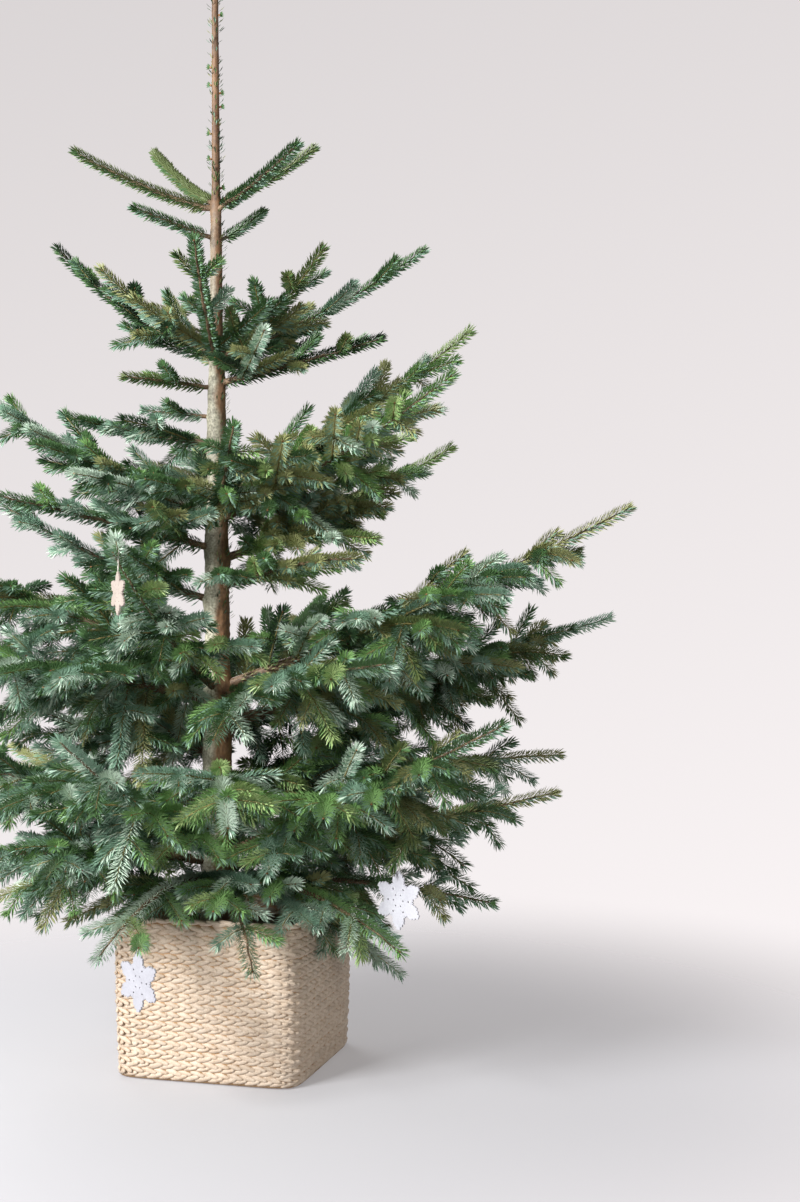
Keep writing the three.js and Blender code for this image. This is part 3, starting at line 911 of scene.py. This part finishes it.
def dress_tree():
    """Needles by piece, the nodes that each piece replaces, and the buds, twigs and limbs."""
    shoots = clear_of_flakes(grow_tree())
    rng = np.random.default_rng(NEEDLE_SEED)
    heaps, nodes_of = {}, {}
    buds, twigs, limbs = Heap(), Heap(), Heap()
    for shoot in shoots:
        if shoot.bough:
            group = needle_group(shoot)
            nodes_of.setdefault(group, []).append("foliage_" + shoot.bough.name)
        shoot.group = group
    carry_flakes(shoots)
    for shoot in shoots:
        heap = heaps.setdefault(shoot.group, Heap())
        points, faces, pale = shoot_needles(shoot, rng)
        tone = tone_of(shoot, rng)
        heap.add(points, faces, np.repeat(np.where(pale, UNDERSIDE[tone], tone), 2))
        if shoot.bough:
            limbs.add(*limb_arrays(shoot, rng))
        else:
            twigs.add(*twig_arrays(shoot))
        heading = shoot.heading(1.0)
        across = unit(np.cross(heading, UP))
        buds.add(*bud_arrays(shoot.tip, heading, *BUD_SIZE))
        if shoot.length > SIDE_BUDS_FROM:
            for lean in (SIDE_BUD_LEAN, -SIDE_BUD_LEAN):
                buds.add(*bud_arrays(shoot.tip, unit(heading + across * lean), *SIDE_BUD_SIZE))
    return heaps, nodes_of, buds, twigs, limbs


# The trunk: its rings, how the collars swell at the boughs, then each relief's rate and depth

TRUNK_SIDES = 56
TRUNK_RINGS = 230
LEADER_RINGS = 70
RING_GAP = 8
COLLAR_REACH = 70
COLLAR_HEIGHT = 24
COLLAR_LEAST = 0.5
COLLAR_PER_REACH = 0.008
COLLAR_NARROWS = 6
WAVE_RATE = 0.03
WAVE_DEPTH = 1.8
WRINKLE_RATES = (0.1, 0.1, 0.24)
WRINKLE_DEPTH = 1.1
BLISTER_RATE = 0.16
BLISTER_SHIFT = Vector((9, 4, 2))
BLISTER_FROM = 0.25
BLISTER_DEPTH = 4.5
FULL_RELIEF_RADIUS = 25


def bark_relief(spot):
    """How far the bark stands out at a spot: broad waves, level wrinkles and round blisters."""
    wave = noise.noise(spot * WAVE_RATE) * WAVE_DEPTH
    drawn = Vector([along * rate for along, rate in zip(spot, WRINKLE_RATES)])
    wrinkle = noise.noise(drawn) * WRINKLE_DEPTH
    blister = max(0, noise.noise(spot * BLISTER_RATE + BLISTER_SHIFT) - BLISTER_FROM) * BLISTER_DEPTH
    return wave + wrinkle + blister


def trunk_rings():
    """The trunk's rings of points, with collars at the boughs and its bark in relief."""
    heights = np.concatenate([
        np.linspace(TRUNK_FOOT, LEADER_FOOT, TRUNK_RINGS),
        np.linspace(LEADER_FOOT + RING_GAP, TREE_TOP, LEADER_RINGS),
    ])
    turn = np.arange(TRUNK_SIDES) * TAU / TRUNK_SIDES
    out = level_ways(turn)
    rings = []
    for height in heights:
        centre = trunk_centre(height)
        radius = np.full(TRUNK_SIDES, trunk_radius(height))
        for bough in BOUGHS:
            rise = height - bough.height
            if abs(rise) < COLLAR_REACH:
                near = np.cos(turn - math.radians(bough.turn)).clip(0) ** COLLAR_NARROWS
                swell = COLLAR_LEAST + bough.reach * COLLAR_PER_REACH
                radius = radius + swell * near * math.exp(-(rise / COLLAR_HEIGHT) ** 2)
        for k in range(TRUNK_SIDES):
            relief = bark_relief(Vector(centre + out[k] * radius[k]))
            radius[k] += relief * min(1, radius[k] / FULL_RELIEF_RADIUS)
        rings.append(centre + out * radius[:, None])
    return np.array(rings)


def trunk_piece(material):
    rings = trunk_rings()
    points = np.vstack([rings.reshape(-1, 3), trunk_centre(TRUNK_FOOT), trunk_centre(TREE_TOP)])
    return mesh_of("trunk_bark", points, tube_faces(*rings.shape[:2]), [material], smooth=True)


# The leader: sparse short needles, side buds with tufts, and the crown of buds at its tip

LEADER_BUDS = (
    (1868, 10), (1930, 200), (1985, 185), (2043, 5), (2072, 355), (2090, 175), (2128, 184), (2240, 350),
)
# Lowest, highest, count, and between which turns: the leader's all round, the trunk's old ones on its right
STEM_NEEDLES = ((LEADER_FOOT, TREE_TOP - 4, 250, 0, 360), (930, LEADER_FOOT, 300, -85, 60))
STEM_NEEDLE_TONES = (DEEP, DARK, OLIVE, BLUE)
STEM_NEEDLE_LEAN = (34, 22)
STEM_NEEDLE_LENGTH = (13, 7)
STEM_NEEDLE_SUNK = 0.6
LEADER_BUD_SIZE = (9, 3)
LEADER_BUD_SUNK = 1
LEADER_BUD_RISE = 0.8
TUFT_NEEDLES = 5
TUFT_LENGTH = 11
TUFT_OUT = 3
TUFT_UP = 2
TUFT_RISE = 0.5
TUFT_FAN = 0.9
CROWN_BUDS = 6
CROWN_HEIGHT = TREE_TOP - 14
CROWN_OUT = 4
CROWN_BUD_SIZE = (11, 3.2)


def stem_needles(needles, rng):
    """Short needles that stand on the leader and on the upper trunk."""
    for low, high, count, least, most in STEM_NEEDLES:
        height = low + (high - low) * np.sort(rng.random(count))
        out = level_ways(np.radians(least + (most - least) * rng.random(count)))
        lean = np.radians(vary(rng, *STEM_NEEDLE_LEAN, count))
        heading = UP * np.cos(lean)[:, None] + out * np.sin(lean)[:, None]
        centre = np.array([trunk_centre(h) for h in height])
        root = centre + out * (trunk_radius(height) - STEM_NEEDLE_SUNK)[:, None]
        length = vary(rng, *STEM_NEEDLE_LENGTH, count)
        points, faces = needle_arrays(root, heading, out, length, np.full(count, NEEDLE_WIDTH))
        needles.add(points, faces, np.repeat(rng.choice(STEM_NEEDLE_TONES, size=count), 2))


def dress_leader(needles, buds):
    stem_needles(needles, np.random.default_rng(NEEDLE_SEED + 1))
    fan = TUFT_RISE + TUFT_FAN * np.linspace(-1, 1, TUFT_NEEDLES)[:, None]
    for height, turn in LEADER_BUDS:
        side = level_way(turn)
        place = trunk_centre(height) + side * (trunk_radius(height) - LEADER_BUD_SUNK)
        buds.add(*bud_arrays(place, unit(side + UP * LEADER_BUD_RISE), *LEADER_BUD_SIZE))
        root = np.tile(place + side * TUFT_OUT + UP * TUFT_UP, (TUFT_NEEDLES, 1))
        across = np.tile(np.cross(side, UP), (TUFT_NEEDLES, 1))
        size = np.full(TUFT_NEEDLES, TUFT_LENGTH), np.full(TUFT_NEEDLES, NEEDLE_WIDTH)
        points, faces = needle_arrays(root, unit(side + UP * fan), across, *size)
        needles.add(points, faces, DARK)
    for k in range(CROWN_BUDS):
        side = level_way(k * 360 / CROWN_BUDS)
        place = trunk_centre(CROWN_HEIGHT) + side * CROWN_OUT
        buds.add(*bud_arrays(place, unit(side + UP), *CROWN_BUD_SIZE))


# The basket, by the source's rule

BASKET_SIDE = 415
BASKET_HEIGHT = 322
BASKET_TURN = math.radians(-15)
FOOT_SHARE = 0.965
SQUARENESS = 10
CORNER_PULL = 0.235
RIM_HEIGHT = 328
LATHE_SIDES = 96
OUTLINE_SIDES = 160
CORE_PROFILE = (
    (3.5, 3), (3.5, 60), (3.5, 160), (3.5, 250), (3.5, 325), (8, 325), (8, 250), (8, 160), (8, 60),
    (8, 8), (120, 8), (205, 8), (205, 3), (120, 3),
)
PLAIT_PITCH = 19.7
PLAIT_INSET = 5
LOBE_SIDES = 7
LOBE_RINGS = 4
LOBE_SIZES = (0.82, 1.16)
TINT_SEED_STEP = 5


def soft_square(count):
    """Points of the basket's outline seen from above, of half side 1."""
    angle = np.arange(count) * TAU / count
    pulled = angle + CORNER_PULL * np.sin(4 * angle)
    powers = np.abs(np.cos(pulled)) ** SQUARENESS + np.abs(np.sin(pulled)) ** SQUARENESS
    return level_ways(pulled + BASKET_TURN) * (powers ** (-1 / SQUARENESS))[:, None]


def wall_radius(height):
    return BASKET_SIDE / 2 * (FOOT_SHARE + (1 - FOOT_SHARE) * np.sin(height / BASKET_HEIGHT * math.pi / 2))


def lathe_piece(name, profile, material):
    """A closed shell turned on the soft square: profile rows of inset from the wall and height."""
    outline = soft_square(LATHE_SIDES)
    rows = [outline * (wall_radius(min(h, BASKET_HEIGHT)) - inset) + UP * h for inset, h in profile]
    a, b, c, d = between_rings(len(profile), LATHE_SIDES, closed=True)
    return mesh_of(name, np.vstack(rows), np.column_stack([a, b, d, c]), [material], smooth=True)


def nodes_tree(name, inputs):
    """A Geometry Nodes tree that takes a mesh and the named inputs and gives a mesh, and what it takes."""
    tree = bpy.data.node_groups.new(name, "GeometryNodeTree")
    for socket, kind in (("Geometry", "Geometry"), *inputs.items()):
        tree.interface.new_socket(socket, in_out="INPUT", socket_type="NodeSocket" + kind)
    tree.interface.new_socket("Geometry", in_out="OUTPUT", socket_type="NodeSocketGeometry")
    return tree, tree.nodes.new("NodeGroupInput").outputs


def end_tree(tree, geometry, material):
    """The end of a Geometry Nodes tree, where the shape gets its material."""
    finish = add_node(tree, "GeometryNodeSetMaterial", {"Geometry": geometry, "Material": material})
    add_node(tree, "NodeGroupOutput", {"Geometry": finish.outputs[0]})
    return tree


def plait_tree():
    """Rows of plaited lobes round an outline: a Geometry Nodes tree."""
    tree, given = nodes_tree("plait_rows", {
        "Rows": "Int", "Units": "Int", "Seed": "Int", "First Height": "Float", "Row Pitch": "Float",
        "Half Side": "Float", "Foot Share": "Float", "Wall Height": "Float", "Lobe Length": "Float",
        "Lobe Width": "Float", "Lobe Depth": "Float", "Lobe Tilt": "Float", "Lobe Apart": "Float",
        "Lobe Lean": "Float", "Straw": "Material",
    })
    outline = add_node(tree, "GeometryNodeMeshToCurve", {"Mesh": given["Geometry"]})
    line = add_node(tree, "GeometryNodeMeshLine", {
        "Count": given["Rows"], "Start Location": triple(tree, 0, 0, given["First Height"]),
        "Offset": triple(tree, 0, 0, given["Row Pitch"]),
    })
    place = tree.nodes.new("GeometryNodeInputPosition").outputs[0]
    height = add_node(tree, "ShaderNodeSeparateXYZ", {0: place}).outputs["Z"]
    part = maths(tree, "MINIMUM", maths(tree, "DIVIDE", height, given["Wall Height"]), 1)
    swell = maths(tree, "SINE", maths(tree, "MULTIPLY", part, math.pi / 2))
    rest = maths(tree, "SUBTRACT", 1, given["Foot Share"])
    share = maths(tree, "MULTIPLY_ADD", rest, swell, given["Foot Share"])
    size = maths(tree, "MULTIPLY", share, given["Half Side"])
    rows = add_node(tree, "GeometryNodeInstanceOnPoints", {
        "Points": line.outputs["Mesh"], "Instance": outline.outputs["Curve"],
        "Scale": triple(tree, size, size, 1),
    })
    flat = add_node(tree, "GeometryNodeRealizeInstances", {0: rows.outputs["Instances"]})
    points = add_node(tree, "GeometryNodeCurveToPoints", {
        "Curve": flat.outputs[0], "Count": maths(tree, "MULTIPLY", given["Units"], 2),
    }, mode="COUNT")
    odd = maths(tree, "MODULO", tree.nodes.new("GeometryNodeInputIndex").outputs[0], 2)
    hand = maths(tree, "MULTIPLY_ADD", odd, 2, -1)
    move = add_node(tree, "GeometryNodeSetPosition", {
        "Geometry": points.outputs["Points"],
        "Offset": triple(tree, 0, 0, maths(tree, "MULTIPLY", hand, given["Lobe Apart"])),
    })
    tangent = add_node(tree, "ShaderNodeSeparateXYZ", {0: points.outputs["Tangent"]}).outputs
    heading = maths(tree, "ADD", maths(tree, "ARCTAN2", tangent["Y"], tangent["X"]), given["Lobe Lean"])
    wild = add_node(tree, "FunctionNodeRandomValue", {
        2: LOBE_SIZES[0], 3: LOBE_SIZES[1], "Seed": given["Seed"],
    }, data_type="FLOAT").outputs[1]
    tilt = maths(tree, "MULTIPLY", maths(tree, "MULTIPLY", hand, given["Lobe Tilt"]), wild)
    ball = add_node(tree, "GeometryNodeMeshUVSphere", {
        "Segments": LOBE_SIDES, "Rings": LOBE_RINGS, "Radius": 0.5,
    })
    upright = add_node(tree, "GeometryNodeTransform", {
        "Geometry": ball.outputs["Mesh"], "Rotation": (0, math.pi / 2, 0),
    })
    lobe = add_node(tree, "GeometryNodeTransform", {
        "Geometry": upright.outputs[0],
        "Scale": triple(tree, given["Lobe Length"], given["Lobe Depth"], given["Lobe Width"]),
    })
    lobes = add_node(tree, "GeometryNodeInstanceOnPoints", {
        "Points": move.outputs[0], "Instance": lobe.outputs[0],
        "Rotation": triple(tree, 0, tilt, heading), "Scale": triple(tree, wild, 1, wild),
    })
    tint = add_node(tree, "FunctionNodeRandomValue", {
        "Seed": maths(tree, "ADD", given["Seed"], TINT_SEED_STEP),
    }, data_type="FLOAT")
    store = add_node(tree, "GeometryNodeStoreNamedAttribute", {
        "Geometry": lobes.outputs["Instances"], "Name": "tint",
    }, data_type="FLOAT", domain="INSTANCE")
    tree.links.new(tint.outputs[1], next(s for s in store.inputs if s.name == "Value" and s.enabled))
    whole = add_node(tree, "GeometryNodeRealizeInstances", {0: store.outputs["Geometry"]})
    smooth = add_node(tree, "GeometryNodeSetShadeSmooth", {"Geometry": whole.outputs[0]})
    return end_tree(tree, smooth.outputs[0], given["Straw"])


def from_nodes(name, start, tree, values):
    """The plain mesh that a Geometry Nodes tree makes of a start mesh."""
    holder = into_scene(name + "_start", start)
    modifier = holder.modifiers.new("nodes", "NODES")
    modifier.node_group = tree
    for item in tree.interface.items_tree:
        if item.item_type == "SOCKET" and item.in_out == "INPUT" and item.name in values:
            modifier[item.identifier] = values[item.name]
    ready = holder.evaluated_get(bpy.context.evaluated_depsgraph_get())
    mesh = bpy.data.meshes.new_from_object(ready)
    mesh.name = name
    bpy.data.objects.remove(holder)
    return into_scene(name, mesh)


def outline_mesh():
    """The basket's outline as a closed line of half side 1, for the plait rows."""
    mesh = bpy.data.meshes.new("outline")
    edges = [(k, (k + 1) % OUTLINE_SIDES) for k in range(OUTLINE_SIDES)]
    mesh.from_pydata(soft_square(OUTLINE_SIDES).tolist(), edges, [])
    return mesh


def basket_pieces():
    core = straw_material("straw_core", (152, 117, 84), (180, 146, 110))
    straw = tint_lobes(straw_material("straw", (176, 153, 129), (202, 185, 166)), 0.88)
    tree = plait_tree()
    shared = {
        "Row Pitch": PLAIT_PITCH * MM, "Half Side": (BASKET_SIDE / 2 - PLAIT_INSET) * MM,
        "Foot Share": FOOT_SHARE, "Wall Height": BASKET_HEIGHT * MM, "Straw": straw,
    }
    wall = from_nodes("basket_plaits", outline_mesh(), tree, shared | {
        "Rows": 16, "Units": 56, "Seed": 3, "First Height": 15.4 * MM,
        "Lobe Length": 46 * MM, "Lobe Width": 12.5 * MM, "Lobe Depth": 9 * MM,
        "Lobe Tilt": math.radians(13), "Lobe Apart": 4.9 * MM, "Lobe Lean": math.radians(-7),
    })
    rim = from_nodes("basket_rim_wrap", outline_mesh(), tree, shared | {
        "Rows": 1, "Units": 50, "Seed": 8, "First Height": RIM_HEIGHT * MM,
        "Lobe Length": 44 * MM, "Lobe Width": 10 * MM, "Lobe Depth": 14 * MM,
        "Lobe Tilt": math.radians(9), "Lobe Apart": 1.0 * MM, "Lobe Lean": 0.0,
    })
    return wall, rim, lathe_piece("basket_core", CORE_PROFILE, core)


# The bark chips in the basket

BED_PROFILE = ((12, 10), (12, 268), (60, 276), (205, 281), (205, 10))
CHIPS_INSET = 30
CHIPS_HEIGHT = 274
CHIPS_SIDES = 48
CHIP_TIP = 0.3
CHIP_SIZES = (0.5, 1.2)


def chip_tree():
    """Chips strewn over a face, each turned and tipped its own way: a Geometry Nodes tree."""
    tree, given = nodes_tree("strewn_chips", {
        "Density": "Float", "Seed": "Int", "Chip Length": "Float", "Chip Width": "Float",
        "Chip Depth": "Float", "Bark": "Material",
    })
    strew = add_node(tree, "GeometryNodeDistributePointsOnFaces", {
        "Mesh": given["Geometry"], "Density": given["Density"], "Seed": given["Seed"],
    })
    chip = add_node(tree, "GeometryNodeMeshCube", {
        "Size": triple(tree, given["Chip Length"], given["Chip Width"], given["Chip Depth"]),
    })
    turn = add_node(tree, "FunctionNodeRandomValue", {
        0: (-CHIP_TIP, -CHIP_TIP, 0), 1: (CHIP_TIP, CHIP_TIP, TAU), "Seed": given["Seed"],
    }, data_type="FLOAT_VECTOR")
    grow = add_node(tree, "FunctionNodeRandomValue", {
        2: CHIP_SIZES[0], 3: CHIP_SIZES[1], "Seed": given["Seed"],
    }, data_type="FLOAT")
    chips = add_node(tree, "GeometryNodeInstanceOnPoints", {
        "Points": strew.outputs["Points"], "Instance": chip.outputs["Mesh"],
        "Rotation": turn.outputs[0], "Scale": grow.outputs[1],
    })
    whole = add_node(tree, "GeometryNodeRealizeInstances", {0: chips.outputs["Instances"]})
    return end_tree(tree, whole.outputs[0], given["Bark"])


def mulch_pieces():
    bark = mottled("mulch", (46, 32, 24), (112, 82, 58), 40, 200, bump=0.6)
    bed = lathe_piece("mulch_bed", BED_PROFILE, bark)
    ring = soft_square(CHIPS_SIDES) * (wall_radius(FILL_TOP) - CHIPS_INSET) + UP * CHIPS_HEIGHT
    start = bpy.data.meshes.new("mulch_top")
    start.from_pydata((ring * MM).tolist(), [], [list(range(CHIPS_SIDES))])
    chips = from_nodes("mulch_chips", start, chip_tree(), {
        "Density": 4200, "Seed": 4, "Chip Length": 26 * MM, "Chip Width": 12 * MM, "Chip Depth": 4 * MM,
        "Bark": bark,
    })
    return bed, chips


# The ornaments: pierced snowflakes on loops of thread

def lobe_outline():
    """One side of a lobe, scalloped, from the notch to the tip, always turning towards the tip."""
    rows = np.array(FLAKE_LOBE)
    share = np.linspace(0, len(rows) - 1, FLAKE_STEPS)
    line = np.column_stack([np.interp(share, np.arange(len(rows)), rows[:, k]) for k in (0, 1)])
    along = np.gradient(line, axis=0)
    normal = unit(np.column_stack([-along[:, 1], along[:, 0]]))
    bump = FLAKE_SCALLOP * np.abs(np.sin(np.linspace(0, FLAKE_SCALLOPS * math.pi, len(line))))
    line = line + normal * bump[:, None]
    distance = np.hypot(line[:, 0], line[:, 1])
    angle = np.minimum(np.arctan2(line[:, 1], line[:, 0]), FLAKE_GAP * math.pi / FLAKE_ARMS)
    least = FLAKE_STEP_TURN * np.arange(len(line))
    angle = np.maximum(np.minimum.accumulate(angle + least) - least, 0)
    return np.column_stack([distance * np.cos(angle), distance * np.sin(angle)])


def flake_loops(radius):
    """The outline of a snowflake and its holes, in its own plane."""
    side = lobe_outline()
    outline, holes = [], []
    around = np.arange(FLAKE_HOLE_SIDES) * TAU / FLAKE_HOLE_SIDES
    circle = level_ways(around)[:, :2]
    for k in range(FLAKE_ARMS):
        turn = math.pi / 2 + k * TAU / FLAKE_ARMS
        along = np.array([math.cos(turn), math.sin(turn)])
        across = np.array([-math.sin(turn), math.cos(turn)])
        right = side[:, :1] * along - side[:, 1:] * across
        left = side[::-1, :1] * along + side[::-1, 1:] * across
        outline += [right[:-1], left]
        between = turn + math.pi / FLAKE_ARMS
        for distance, size in FLAKE_HOLES:
            centre = distance * np.array([math.cos(between), math.sin(between)])
            holes.append(centre + size * circle)
    return [loop * radius for loop in [np.vstack(outline)] + holes]


def flat_flake(name, radius):
    """A snowflake's mesh in its own plane, cut out of a sheet with its edges eased."""
    curve = bpy.data.curves.new(name, "CURVE")
    curve.dimensions = "2D"
    curve.fill_mode = "BOTH"
    curve.extrude = FLAKE_THICK / 2 * MM
    curve.bevel_depth = FLAKE_BEVEL * MM
    curve.bevel_resolution = 1
    for loop in flake_loops(radius):
        spline = curve.splines.new("POLY")
        spline.points.add(len(loop) - 1)
        flat = np.column_stack([loop, np.zeros(len(loop)), np.ones(len(loop))])
        spline.points.foreach_set("co", flat.ravel())
        spline.use_cyclic_u = True
    shape = bpy.data.objects.new(name + "_outline", curve)
    mesh = bpy.data.meshes.new_from_object(shape)
    bpy.data.objects.remove(shape)
    mesh.name = name
    mesh.materials.clear()
    return mesh


def snowflake(flake, finish, thread_finish):
    """A snowflake turned to its place, and the loop of thread that it hangs on."""
    mesh = flat_flake(flake.name, flake.across / 2 * MM)
    mesh.materials.append(finish)
    points = np.empty(len(mesh.vertices) * 3)
    mesh.vertices.foreach_get("co", points)
    points = points.reshape(-1, 3)
    right = level_way(flake.turn)
    away = np.cross(right, UP)
    middle = np.array(flake.place)
    points = middle * MM + points[:, :1] * right + points[:, 1:2] * UP + points[:, 2:] * away
    mesh.vertices.foreach_set("co", points.ravel())
    shape = into_scene(flake.name, mesh)
    top = middle + UP * (flake.across / 2 - THREAD_SUNK)
    share = np.linspace(0, 1, THREAD_STEPS)[:, None]
    rise = top + UP * share * (flake.thread + 2 * THREAD_SUNK)
    apart = right * THREAD_APART * np.sin(share * math.pi / 2)
    path = np.vstack([rise - apart, rise[-1:] + UP * THREAD_END, (rise + apart)[::-1]])
    points, faces = tube_arrays(path, np.full(len(path), THREAD_RADIUS), THREAD_SIDES)
    return shape, mesh_of(flake.name + "_thread", points, faces, [thread_finish], smooth=True)


# Camera, floor and light

def floor_material():
    """Plain and pale, open a little everywhere, so that the backdrop shows through as painted light that
    lifts its shadows, and open towards the rim, so that no edge shows against the backdrop.
    """
    material = new_material("floor", (180, 180, 184), 0.8, 0.2)
    tree = material.node_tree
    place = tree.nodes.new("ShaderNodeTexCoord").outputs["Object"]
    distance = add_node(tree, "ShaderNodeVectorMath", {0: place}, operation="LENGTH").outputs["Value"]
    # Painted light: even the solid middle shows a share of the bright backdrop, which lifts its shadows
    fade = ranged(
        tree, distance, FLOOR_SOLID, FLOOR_RADIUS - FLOOR_EDGE, FLOOR_BACKDROP_GLOW, 1,
        interpolation_type="SMOOTHSTEP",
    )
    mix = add_node(tree, "ShaderNodeMixShader", {
        "Fac": fade, 1: tree.nodes["Principled BSDF"].outputs["BSDF"],
        2: tree.nodes.new("ShaderNodeBsdfTransparent").outputs["BSDF"],
    })
    tree.links.new(mix.outputs["Shader"], tree.nodes["Material Output"].inputs["Surface"])
    return material


def floor_piece():
    """A disc of triangles round its middle."""
    around = np.arange(FLOOR_SIDES)
    ring = level_ways(around * TAU / FLOOR_SIDES) * (FLOOR_RADIUS / MM)
    faces = np.column_stack([around, (around + 1) % FLOOR_SIDES, np.full(FLOOR_SIDES, FLOOR_SIDES)])
    return mesh_of("floor", np.vstack([ring, [0, 0, 0]]), faces, [floor_material()])


def set_camera():
    view = bpy.data.cameras.new("camera")
    view.lens = CAMERA_LENS
    view.sensor_width = CAMERA_SENSOR
    camera = into_scene("camera", view)
    camera.location = CAMERA_PLACE
    camera.rotation_euler = (math.pi / 2, 0, 0)
    bpy.context.scene.camera = camera
    bpy.context.scene.view_settings.view_transform = "Standard"


def set_world():
    """A soft light all round, and a brighter backdrop that gets darker towards its top."""
    world = bpy.data.worlds.new("studio")
    world.use_nodes = True
    tree = world.node_tree
    direction = tree.nodes.new("ShaderNodeTexCoord").outputs["Generated"]
    fall = add_node(tree, "ShaderNodeVectorMath", {0: direction, 1: BACKDROP_FALL}, operation="DOT_PRODUCT")
    backdrop = add_node(tree, "ShaderNodeMath", {0: fall.outputs["Value"], 1: BACKDROP}, use_clamp=True)
    seen = tree.nodes.new("ShaderNodeLightPath").outputs["Is Camera Ray"]
    level = ranged(tree, seen, 0, 1, AMBIENT, backdrop.outputs[0])
    glow = tree.nodes["Background"].inputs
    glow["Color"].default_value = GLOW_COLOUR
    tree.links.new(level, glow["Strength"])
    bpy.context.scene.world = world


def set_lamps():
    for name, place, aim, size, power in LAMPS:
        light = bpy.data.lights.new(name, "AREA")
        light.size = size
        light.energy = power
        lamp = into_scene(name, light)
        lamp.location = place
        lamp.rotation_euler = (Vector(aim) - Vector(place)).to_track_quat("-Z", "Y").to_euler()


def put(piece, slot_name, *nodes):
    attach(piece, "root")
    if nodes:
        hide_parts(*nodes)


set_camera()
set_world()
set_lamps()
floor_piece()

tones = needle_materials()
heaps, nodes_of, buds, twigs, limbs = dress_tree()
dress_leader(heaps["needles_2"], buds)
for name in sorted(heaps):
    put(heaps[name].piece(name, tones), "needles", *nodes_of[name])
limb_bark = mottled("limb_bark", (74, 58, 46), (140, 116, 92), 60, 300, bump=0.4)
twig_bark = mottled("twig_bark", (96, 88, 52), (150, 136, 86), 90, 400, bump=0.2)
bud_scale = mottled("bud_scale", (134, 92, 62), (176, 130, 90), 200, 600, bump=0.2)
limb_nodes = [n for n in frame["nodes"] if n.startswith("bough_")]
put(limbs.piece("limbs", [limb_bark], True), "bough_bark", *limb_nodes)
put(twigs.piece("twigs", [twig_bark], True), "bough_bark")
put(buds.piece("buds", [bud_scale], True), "bough_bark")
put(trunk_piece(trunk_material()), "trunk_bark", "trunk")
wall, rim, shell = basket_pieces()
put(wall, "woven_straw", "basket")
put(shell, "woven_straw", "basket")
put(rim, "woven_straw", "basket_rim")
bed, chips = mulch_pieces()
put(bed, "bark_mulch", "bark_fill")
put(chips, "bark_mulch")

# The low and high snowflakes are darker copies of the white finish, painted for the shade they hang in
flake_finishes = {
    "snowflake_front": ("flake_white", (180, 180, 188), (194, 194, 201)),
    "snowflake_low": ("flake_painted_shade", (156, 156, 163), (170, 170, 177)),
    "snowflake_high": ("flake_cream_painted_shade", (158, 146, 137), (172, 161, 152)),
}
thread_pale = mottled("thread_pale", (196, 190, 178), (226, 222, 212), 200, 900, bump=0.1)
for flake in FLAKES:
    finish = mottled(*flake_finishes[flake.name], 30, 300, bump=0.1, roughness=0.5)
    for piece in snowflake(flake, finish, thread_pale):
        put(piece, None)

bpy.context.view_layer.update()
